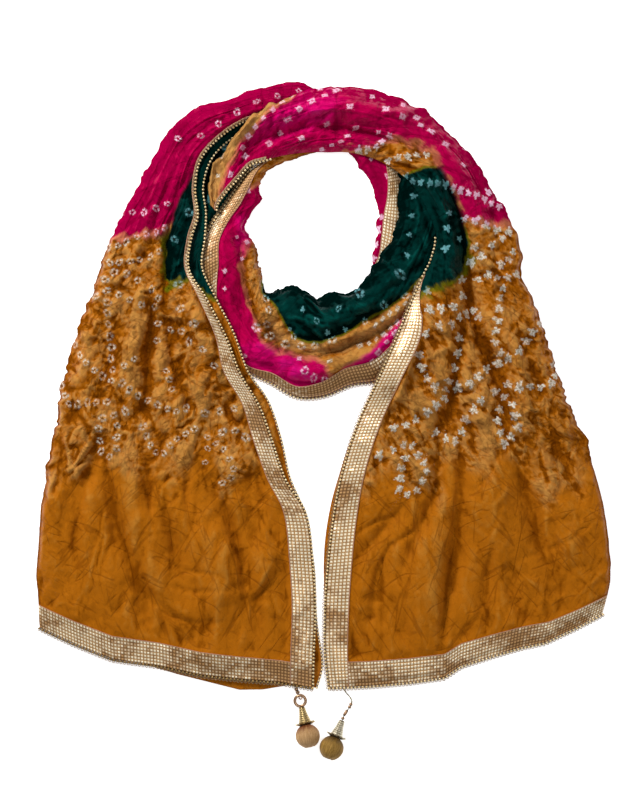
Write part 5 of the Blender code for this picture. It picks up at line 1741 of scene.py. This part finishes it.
@dataclass(frozen=True)
class ArtSilk:
    """Art silk (rayon satin), tied and dyed: a soft sheen, and colour that pools in its creases.

    Each dye has a tone for the crests of the crinkle, its body and the hollows; the crest tone is
    partly painted highlight and the hollow tone partly painted shade. Under knots the silk keeps
    its undyed white, tinted by the bath beside it.
    """

    name: str = "art_silk_bandhani"
    mustard: tuple[str, str, str] = ("#B87728", "#AE640F", "#804304")
    pink: tuple[str, str, str] = ("#B8024E", "#B00044", "#920038")
    green: tuple[str, str, str] = ("#04423C", "#012C28", "#001210")
    magenta: tuple[str, str, str] = ("#C60C6C", "#CC0462", "#A2004A")
    wet_green: str = "#6A7008"       # where green ran into mustard
    peach: str = "#CE7C58"           # where pink ran into mustard
    knot_white: str = "#DCD4C6"
    knot_grey: str = "#A39C88"
    knot_lilac: str = "#EAC0D8"
    knot_cyan: str = "#68A2A8"
    pale: str = "#CE9F5E"            # mustard silk that the bound threads kept from the bath
    bruise: tuple = (0.016, 0.01, 0.006, 1)          # the dark heart of a tied dot
    creased_shade: tuple = (0.4, 0.3, 0.26, 1)       # painted shade along a hair-thin crease
    roughness: float = 0.46
    thread_mm: float = 1.1           # real threads are 0.2 mm; coarser so that the slub shows

    def dyed(self, book: NodeBook, tones: tuple[str, str, str],
             tone_and_painted_shade: bpy.types.NodeSocket) -> bpy.types.NodeSocket:
        """One dye's colour over crests and hollows."""
        hollow = book.add("mix", book.add("span", tone_and_painted_shade, 0.05, 0.5), tones[2], tones[1])
        return book.add("mix", book.add("span", tone_and_painted_shade, 0.5, 0.92), hollow, tones[0])

    def build(self) -> bpy.types.Material:
        """Write the material."""
        book = NodeBook(self.name)
        fibre = book.cloth_vector(1000 / (9 * self.thread_mm), 1000 / self.thread_mm)
        slub = book.add("noise", fibre, 1.0, 2.0)
        place = book.add("place")
        cloud = book.add("noise", place, 16.0, 3.0, 0.55)
        mottle = book.add("noise", place, 130.0, 3.0, 0.6)
        # Crest-to-hollow value: pooled dye with painted highlight and painted shade, plus
        # mottling.
        tone_and_painted_shade = book.add("plus", book.add("tone_and_painted_shade"), book.add("scale", mottle, 0.3, 0.7, -0.04, 0.04))
        tone_and_painted_shade = book.add("plus", tone_and_painted_shade, book.add("scale", cloud, 0.35, 0.65, -0.06, 0.06))
        slack = book.add("slack")
        facets, tone = self.creased(book)
        # Painted shading: each tied facet is made a little lighter or darker, as if lit at its
        # slope.
        tone = book.add("times", book.add("scale", tone, 0.0, 1.0, -0.3, 0.3),
                        book.add("scale", slack, 0.0, 1.0, 1.0, 0.1))
        tone_and_painted_shade = book.add("plus", tone_and_painted_shade, tone)
        pink, green, magenta = book.add("channels", book.add("dye"))
        ragged = book.add("scale", slub, 0.3, 0.7, -0.07, 0.07)
        ragged = book.add("plus", ragged, book.add("scale", mottle, 0.3, 0.7, -0.06, 0.06))
        both = book.add("plus", pink, green)
        greener = book.add("over", green, book.add("most", both, 0.001))
        took = book.add("span", book.add("plus", both, ragged), 0.12, 0.88)
        ran = book.add("times", took, book.add("minus", 1.0, took))
        bath = book.add("mix", greener, self.dyed(book, self.pink, tone_and_painted_shade),
                        self.dyed(book, self.green, tone_and_painted_shade))
        bled = book.add("mix", greener, self.peach, self.wet_green)
        bound = book.add("times", book.add("span", slack, 0.1, 0.7, 0.3, 0.0),
                         book.add("span", cloud, 0.3, 0.6, 0.5, 1.0))
        # The bound threads' pale shows only where the tone and painted highlight are light.
        bound = book.add("times", bound, book.add("span", tone_and_painted_shade, 0.3, 0.6))
        bound = book.add("most", bound, book.add("times", book.add("pale"), 0.62))
        mustard = book.add("mix", bound, self.dyed(book, self.mustard, tone_and_painted_shade), self.pale)
        colour = book.add("mix", took, mustard, bath)
        colour = book.add("mix", book.add("times", ran, 2.8), colour, bled)
        magenta_took = book.add("span", book.add("plus", magenta, ragged), 0.1, 0.95)
        colour = book.add("mix", magenta_took, colour, self.dyed(book, self.magenta, tone_and_painted_shade))
        facets = book.add("times", facets, book.add("scale", slack, 0.0, 1.0, 1.0, 0.12))
        shaded_creases = self.strokes(book, ((0.35, 80.0, 13.0), (-0.6, 66.0, 11.0), (1.2, 50.0, 13.0)),
                              0.52)
        webbed = self.strokes(book, ((0.2, 46.0, 15.0), (-0.7, 38.0, 13.0), (1.3, 34.0, 15.0)),
                              0.45)
        webbed = book.add("times", webbed, book.add("span", slack, 0.1, 0.6, 0.5, 0.0))
        lines = book.add("times", shaded_creases, book.add("scale", slack, 0.3, 1.0, 0.26, 0.44))
        lines = book.add("most", lines, webbed)
        # Painted shade: the dye is darkened along the hair-thin creases.
        colour = book.add("mix", lines, colour,
                          book.add("darken", 1.0, colour, self.creased_shade))
        colour = self.knots(book, colour, green, book.add("plus", pink, magenta))
        rough = book.add("span", mottle, 0.3, 0.7, self.roughness - 0.07, self.roughness + 0.09)
        facets = book.add("times plus", book.add("plus", shaded_creases, webbed), -0.4, facets)
        normal = book.add("bump", facets, 0.001)
        normal = book.add("bump", slub, 0.0002, 0.4, normal)
        return book.surface(Base_Color=colour, Roughness=rough, Normal=normal,
                            Specular_Tint=colour,
                            Specular_IOR_Level=book.add("span", tone_and_painted_shade, 0.1, 0.45, 0.0, 0.16))

    def strokes(self, book: NodeBook, sets: tuple[tuple[float, float, float], ...],
                gap: float) -> bpy.types.NodeSocket:
        """Hair-thin creases that slant across the cloth, finer than the mesh can hold.

        Args:
            book: The material's nodes.
            sets: Slant, length and spacing in mm of each set of creases.
            gap: Share of the noise below which there are none.

        Returns:
            1 on a crease, 0 beside it.
        """
        found = 0.0
        for slant, along, across in sets:
            vector = book.cloth_vector(1000 / along, 1000 / across, slant)
            wave = book.add("size", book.add("minus", book.add("noise", vector, 1.0, 1.0), 0.5))
            gate = book.add("span", book.add("noise", vector, 0.7, 1.0), gap, gap + 0.08)
            line = book.add("times", book.add("span", wave, 0.0, 0.05, 1, 0), gate)
            found = book.add("most", found, line)
        return found

    def creased(self, book: NodeBook) -> tuple[bpy.types.NodeSocket, bpy.types.NodeSocket]:
        """Flat facets, each leaning its own way, as in crushed tissue.

        Returns:
            Their height in mm, and a random value for each facet.
        """
        height, tone = 0.0, 0.0
        for along, across, lean in ((19.0, 12.0, 7.0), (9.0, 6.5, 4.0)):
            vector = book.cloth_vector(1000 / along, 1000 / across)
            bend = book.add("bend", vector, 0.9, 1.0)
            vector = book.add("vector times plus", bend, (1.8, 1.8, 0.0), vector)
            cell = book.add("cells", vector, 1.0)
            local = book.add("vector minus", vector, cell["Position"])
            way = book.add("vector minus", cell["Color"], (0.5, 0.5, 0.0))
            flat = book.add("vector times", way, (1.0, 1.0, 0.0))
            dot = book.add("dot product", local, flat)
            height = book.add("times plus", dot, lean, height)
            own = book.add("parts", cell["Color"])[2]
            tone = book.add("times plus", own, 0.5, tone)
        return height, tone

    def knots(self, book: NodeBook, colour: bpy.types.NodeSocket, green: bpy.types.NodeSocket,
              pink: bpy.types.NodeSocket) -> bpy.types.NodeSocket:
        """Paint the tied dots: rings, spiky stars and lozenges of undyed silk."""
        u, v, kind = book.add("parts", book.add("dot"))
        tied = book.add("span", book.add("knot"), 0.2, 0.9, 0.0, 1.0)
        frayed = book.add("noise", book.add("place"), 380.0, 3.0, 0.7)
        fray = book.add("scale", frayed, 0.3, 0.7, -0.3, 0.3)
        r = book.add("plus", book.add("root",
                                      book.add("plus", book.add("times", u, u),
                                               book.add("times", v, v))), fray)
        angle = book.add("angle", v, u)
        turn = book.add("times", kind, 21.0)
        spikes = book.add("sine", book.add("plus", book.add("times", angle, 3.0), turn))
        more = book.add("sine", book.add("minus", book.add("times", angle, 5.0), turn))
        both = book.add("plus", spikes, more)
        ring = book.add("times", book.add("span", r, 0.3, 0.56),
                        book.add("span", r, 0.78, 1.0, 1, 0))
        ring = book.add("times", ring, book.add("span", both, -1.5, 0.9, 0.15, 1.0))
        reach = book.add("plus", book.add("span", both, -2, 2, 0.62, 1.28),
                         book.add("times", fray, 1.7))
        star = book.add("span", book.add("minus", r, reach), -0.25, 0.1, 1, 0)
        box = book.add("plus", book.add("most", book.add("size", u),
                                        book.add("times", book.add("size", v), 1.3)),
                       book.add("times", fray, 1.3))
        lozenge = book.add("times", book.add("span", box, 0.55, 0.95, 1, 0),
                           book.add("span", box, 0.0, 0.5, 0.3, 1.0))
        is_star = book.add("scale", kind, 0.45, 0.55)
        is_lozenge = book.add("scale", kind, 1.45, 1.55)
        mask = book.add("mix", is_lozenge, book.add("mix", is_star, ring, star), lozenge)
        mask = book.add("times", mask, tied)
        centre = book.add("times", book.add("span", r, 0.12, 0.36, 1, 0),
                          book.add("minus", tied, book.add("plus", is_star, pink)))
        colour = book.add("mix", book.add("times", book.add("most", centre, 0.0), 0.75), colour,
                          self.bruise)
        white = book.add("mix", book.add("span", frayed, 0.4, 0.58), self.knot_grey,
                         self.knot_white)
        white = book.add("mix", book.add("span", pink, 0.2, 0.7), white, self.knot_lilac)
        white = book.add("mix", book.add("span", green, 0.3, 0.8), white, self.knot_cyan)
        patchy = book.add("span", frayed, 0.34, 0.6, 0.6, 1.0)
        return book.add("mix", book.add("times", mask, patchy), colour, white)


@dataclass(frozen=True)
class GotaWeave:
    """Gota: flat foil-wrapped thread woven in small squares; squares picked at random are painted
    bright as glints.
    """

    name: str = "gota_foil_weave"
    ground_dark: str = "#7C562E"
    ground_light: str = "#BE9058"
    foil_dull: str = "#C49660"
    foil_glint: str = "#FFF2D4"
    thread_mm: float = 0.7           # the foil's ribs, as fine as the view can show

    def build(self) -> bpy.types.Material:
        """Write the material."""
        book = NodeBook(self.name)
        tone, square, _ = book.add("channels", book.add("weave"))
        # Painted glint: the tone paints the foil and the ground beside it bright, dimmed in large
        # patches.
        glint_dimming = book.add("noise", book.add("place"), 60.0, 3.0)
        bright = book.add("minus", tone, book.add("span", glint_dimming, 0.4, 0.75, 0, 0.5))
        ground = book.add("mix", book.add("span", bright, 0.1, 0.9), self.ground_dark,
                          self.ground_light)
        foil = book.add("mix", book.add("span", bright, 0.1, 0.75), self.foil_dull,
                        self.foil_glint)
        colour = book.add("mix", book.add("span", square, 0.4, 0.95), ground, foil)
        ribs = book.add("noise", book.cloth_vector(1000 / self.thread_mm, 200.0), 1.0, 1.0)
        return book.surface(Base_Color=colour, Metallic=0.4,
                            Roughness=book.add("span", tone, 0.2, 0.9, 0.5, 0.34),
                            Normal=book.add("bump", ribs, 0.0002, 0.4))


@dataclass(frozen=True)
class PlatedMetal:
    """Thin gold-coloured plating on brass: warm, bright, its grooves darker."""

    name: str
    bright: str
    dull: str
    groove: str = "#4A3414"
    roughness: float = 0.26
    metallic: float = 1.0

    def build(self) -> bpy.types.Material:
        """Write the material."""
        book = NodeBook(self.name)
        tone_and_painted_shade = book.add("noise", book.add("place"), 900.0, 3.0, 0.6)
        colour = book.add("mix", book.add("span", tone_and_painted_shade, 0.35, 0.65), self.dull, self.bright)
        groove = book.add("span", book.add("tone_and_painted_shade"), 0.35, 0.95, 0.0, 0.75)
        colour = book.add("mix", groove, colour, self.groove)
        return book.surface(Base_Color=colour, Metallic=self.metallic,
                            Roughness=book.add("span", tone_and_painted_shade, 0.3, 0.7, self.roughness + 0.12,
                                               self.roughness),
                            Normal=book.add("bump", tone_and_painted_shade, 0.0001, 0.25))


@dataclass(frozen=True)
class SpunThread:
    """Spun thread: fine ridges at the thread's own spacing, and a dull sheen."""

    name: str
    light: str
    dark: str
    spacing_mm: float = 0.8
    roughness: float = 0.6

    def build(self) -> bpy.types.Material:
        """Write the material."""
        book = NodeBook(self.name)
        place = book.add("place")
        strands = book.add("bands", place, 314 / self.spacing_mm, 3.0, 2.0)
        cloud = book.add("noise", place, 240.0, 3.0)
        share = book.add("times", strands, book.add("span", cloud, 0.3, 0.7, 0.5, 1.0))
        return book.surface(Base_Color=book.add("mix", share, self.dark, self.light),
                            Roughness=self.roughness,
                            Normal=book.add("bump", strands, 0.0002, 0.6))


@dataclass(frozen=True)
class WoundBall:
    """Silk thread wound from pole to pole over a core, darker towards the cap."""

    name: str
    light: str
    dark: str
    collar: str
    roughness: float = 0.62

    def build(self) -> bpy.types.Material:
        """Write the material."""
        book = NodeBook(self.name)
        around, height, _ = book.add("parts", book.add("winding"))
        turned = book.add("vector", book.add("times", book.add("sine", around), 9.0),
                          book.add("times", book.add("cosine", around), 9.0), height)
        strands = book.add("noise", turned, 1.6, 3.0, 0.6)
        fluff = book.add("noise", book.add("place"), 700.0, 3.0, 0.7)
        share = book.add("plus", book.add("span", strands, 0.35, 0.65, 0, 0.6),
                         book.add("span", fluff, 0.3, 0.7, 0, 0.4))
        colour = book.add("mix", share, self.dark, self.light)
        near = book.add("plus", height, book.add("span", strands, 0.3, 0.7, -0.22, 0.22))
        colour = book.add("mix", book.add("span", near, 0.12, 0.85, 0, 0.95), colour, self.collar)
        return book.surface(Base_Color=colour, Roughness=self.roughness, Specular_IOR_Level=0.25,
                            Normal=book.add("bump", share, 0.0006, 0.8))


@dataclass(frozen=True)
class Studio:
    """A pale sweep of paper, soft boxes and a camera straight above."""

    paper: str = "#F6F6F6"
    camera_height: float = 3.0
    focus_plane: float = 0.012       # height at which the frame has its stated size
    sensor: float = 24.0
    boxes: tuple = (("key", (-1.3, 1.7, 1.5), 0.7, 62), ("fill", (1.9, 0.4, 1.5), 1.2, 7),
                    ("top", (0.25, -0.5, 2.7), 1.0, 12))     # name, place, size, watts
    air: float = 0.24                # strength of the light from all round

    def build(self) -> None:
        """Set the floor, the lights and the camera."""
        scene = bpy.context.scene
        scene.view_settings.view_transform = "Standard"
        book = NodeBook("studio_paper")
        book.surface(Base_Color=self.paper, Roughness=0.9,
                     Emission_Color=self.paper, Emission_Strength=0.78)
        mesh = bmesh.new()
        bmesh.ops.create_grid(mesh, x_segments=2, y_segments=2, size=3.0)
        floor = piece_from("studio_floor", mesh)
        floor.data.transform(Matrix.Translation((0, 0, -0.0006)))
        floor.data.materials.append(book.material)
        world = bpy.data.worlds.new("studio_air")
        scene.world = world
        world.use_nodes = True
        background = world.node_tree.nodes["Background"]
        background.inputs[0].default_value, background.inputs[1].default_value = WHITE, self.air
        for box in self.boxes:
            self.soft_box(*box)
        lens = bpy.data.cameras.new("camera")
        lens.sensor_fit = "VERTICAL"
        lens.sensor_height = self.sensor
        lens.lens = self.sensor * (self.camera_height - self.focus_plane) / (VIEW_HEIGHT * MM)
        lens.clip_end = 20
        camera = placed("camera", lens)
        camera.location = (VIEW_CENTRE[0] * MM, VIEW_CENTRE[1] * MM, self.camera_height)
        scene.camera = camera

    @staticmethod
    def soft_box(name: str, spot: tuple, size: float, power: float) -> None:
        """Hang a square soft box at a spot, facing the middle of the table."""
        light = bpy.data.lights.new(name, "AREA")
        light.size = size
        light.energy = power
        holder = placed(name, light)
        holder.location = spot
        holder.rotation_euler = Vector(spot).to_track_quat("Z", "Y").to_euler()


# ---------------------------------------------------------------------------------------------
# The stole
# ---------------------------------------------------------------------------------------------

LEFT_LATKAN = Latkan(
    "left", ((-37.0, -345.6, 3.0), (-35.8, -349.6, 2.6), (-34.2, -353.4, 2.6),
             (-33.0, -356.2, 2.4)),
    ((0.45, 2.6, 1.9), (0.84, 2.6, 1.9)), (-30.4, -365.6, 2.4), (-28.3, -373.8, 6.2),
    (-20.4, -409.6, 15.3))
RIGHT_LATKAN = Latkan(
    "right", ((26.2, -348.6, 3.0), (29.9, -355.6, 1.4), (34.5, -360.8, 1.6), (36.9, -367.4, 2.4),
              (34.7, -372.0, 3.0), (33.1, -375.1, 3.4), (28.9, -381.0, 4.2), (25.9, -386.4, 5.0),
              (24.6, -390.4, 5.8)),
    ((0.52, 2.3, 1.5), (0.60, 2.3, 1.5), (0.79, 2.1, 3.9), (0.95, 2.3, 1.5)), (),
    (24.2, -391.2, 6.3), (10.4, -425.0, 15.3))


def lay_silks() -> dict[str, Cloth]:
    """Lay the seven stretches of silk, from the table up."""
    ground = Ground()
    cloths = (
        Cloth("back_arc_silk", BACK_ARC, 30, 1.8, 11, ("back_arc",), "pink_silk", ARC_DYES,
              ARC_DOTS, darker_dye_and_shade=0.26),
        Cloth("inner_fold_silk", INNER_FOLD, 26, 1.8, 12, ("left_inner_fold",), "green_silk",
              INNER_DYES, INNER_DOTS, bordered=False),
        Cloth("loop_silk", LOOP, 72, 1.6, 13, ("loop_right", "loop_front", "loop_left"),
              "green_silk", LOOP_DYES, LOOP_DOTS, LOOP_FOLDS + LOOP_VALLEYS, darker_dye_and_shade=0.1),
        Cloth("left_back_silk", LEFT_BACK, 60, 3.4, 14, ("left_tail_back",), "mustard_silk",
              LEFT_BACK_DYES, hem=LEFT_BACK_HEM, bordered=False, crinkled=0.5),
        Cloth("right_back_silk", RIGHT_BACK, 60, 3.4, 15, ("right_tail_back",),
              "mustard_silk", hem=RIGHT_BACK_HEM, bordered=False, crinkled=0.4),
        Cloth("left_silk", LEFT_TAIL, 164, 1.75, 16, ("left_tail",), "mustard_silk", LEFT_DYES,
              LEFT_DOTS, LEFT_FOLDS + LEFT_VALLEYS, LEFT_HEM, plain_step=2.5, plain_below=-70,
              flat_round=0.8, darker_dye_and_shade=0.32),
        Cloth("right_silk", RIGHT_TAIL, 164, 1.75, 17, ("right_tail",), "mustard_silk",
              RIGHT_DYES, RIGHT_DOTS, RIGHT_FOLDS + RIGHT_VALLEYS, RIGHT_HEM, plain_step=2.5,
              plain_below=-95, flat_round=0.8, darker_dye_and_shade=0.12),
    )
    return {cloth.name: cloth.lay(ground) for cloth in cloths}


def sew_ribbons(laid: dict[str, Cloth]) -> None:
    """Sew the gota ribbons and the piping inside them on the laid silks."""
    arc, loop = laid["back_arc_silk"], laid["loop_silk"]
    left, right = laid["left_silk"], laid["right_silk"]
    gota = GotaWeave().build()
    piping = SpunThread("gota_piping_thread", "#D8A888", "#B07C5C").build()
    ribbons = (
        Ribbon("arc_gota", arc, Run.EDGE, ("gota_back_arc",), seed=21, painted_glint=0.1),
        Ribbon("loop_gota", loop, Run.EDGE, ("gota_loop_front", "gota_loop_left"), start=250,
               seed=22, painted_glint=-0.42, taper=60),
        Ribbon("left_edge_gota", left, Run.EDGE, ("gota_left_edge",), seed=23, painted_glint=0.04),
        Ribbon("left_hem_gota", left, Run.HEM, ("gota_left_hem",), seed=24, tiles=7),
        Ribbon("right_edge_gota", right, Run.EDGE, ("gota_right_edge",), end=512, seed=25,
               painted_glint=0.3, taper=62),
        Ribbon("right_hem_gota", right, Run.HEM, ("gota_right_hem",), seed=26, tiles=7),
        Ribbon("wedge_gota", right, Run.EDGE, (), start=912, tiles=2, seed=27),
    )
    for ribbon in ribbons:
        ribbon.build(gota)
    declare(swept("gota_piping", [ribbon.edge_line(0.0, OVER_RIBBON) for ribbon in ribbons],
                  PIPING), piping)


def bead_edges(laid: dict[str, Cloth]) -> None:
    """Sew the beaded cords and their picot loops along the edges and the hems."""
    arc, loop, back = laid["back_arc_silk"], laid["loop_silk"], laid["left_back_silk"]
    left, right = laid["left_silk"], laid["right_silk"]
    gold = PlatedMetal("gold_plated_bead", "#FFF2C8", "#D8AC62", roughness=0.3,
                       metallic=0.35).build()
    tarnished = PlatedMetal("tarnished_bead", "#C09A58", "#4E3818", metallic=0.35).build()
    picot = SpunThread("gota_picot_thread", "#BC9A6C", "#72573A").build()
    cord = SpunThread("beading_cord", "#54401E", "#20160A").build()
    lift = OVER_SILK
    for edge in (
        BeadEdge("arc_edge", arc.edge(0, END, lift), -1, False),
        BeadEdge("loop_edge", loop.edge(250, END, lift), -1),
        BeadEdge("left_back_edge", back.edge(0, END, 0.9), 1, False),
        BeadEdge("left_edge", left.edge(0, END, lift), 1, False),
        BeadEdge("right_edge", right.edge(0, 505, lift), -1),
        BeadEdge("right_edge_top", right.edge(509, 575, lift), -1, False),
        BeadEdge("wedge_edge", right.edge(906, END, lift), -1, False),
        BeadEdge("left_hem", left.hem_edge(lift), 1),
        BeadEdge("right_hem", right.hem_edge(lift), -1),
    ):
        edge.build(tarnished if edge.name == "left_hem" else gold, cord, picot)


def hang_drops() -> None:
    """Make the two drops, the left one duller and browner than the right one."""
    string = SpunThread("latkan_metallic_cord", "#B9AE86", "#5E5434").build()
    ring = PlatedMetal("latkan_bead_plating", "#C4A080", "#7A5A40", groove="#2A1A0E",
                       roughness=0.3).build()
    LEFT_LATKAN.build(
        PlatedMetal("left_cap_plating", "#DCC48C", "#988050", roughness=0.34).build(), ring,
        WoundBall("left_ball_silk", "#D6AC7A", "#A67C4A", "#6E3206").build(), string)
    RIGHT_LATKAN.build(
        PlatedMetal("right_cap_plating", "#F0E8D2", "#9A9070", roughness=0.34).build(), ring,
        WoundBall("right_ball_silk", "#B88E44", "#765618", "#4C340A").build(), string)


def main() -> None:
    """Build the stole in the order in which it was laid and sewn."""
    logging.basicConfig(level=logging.INFO, format="%(name)s: %(message)s")
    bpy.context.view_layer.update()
    Studio().build()
    silk = ArtSilk().build()
    laid = lay_silks()
    silks = {name: cloth.build(silk) for name, cloth in laid.items()}
    sew_ribbons(laid)
    bead_edges(laid)
    hang_drops()


if __name__ == "__main__":
    main()
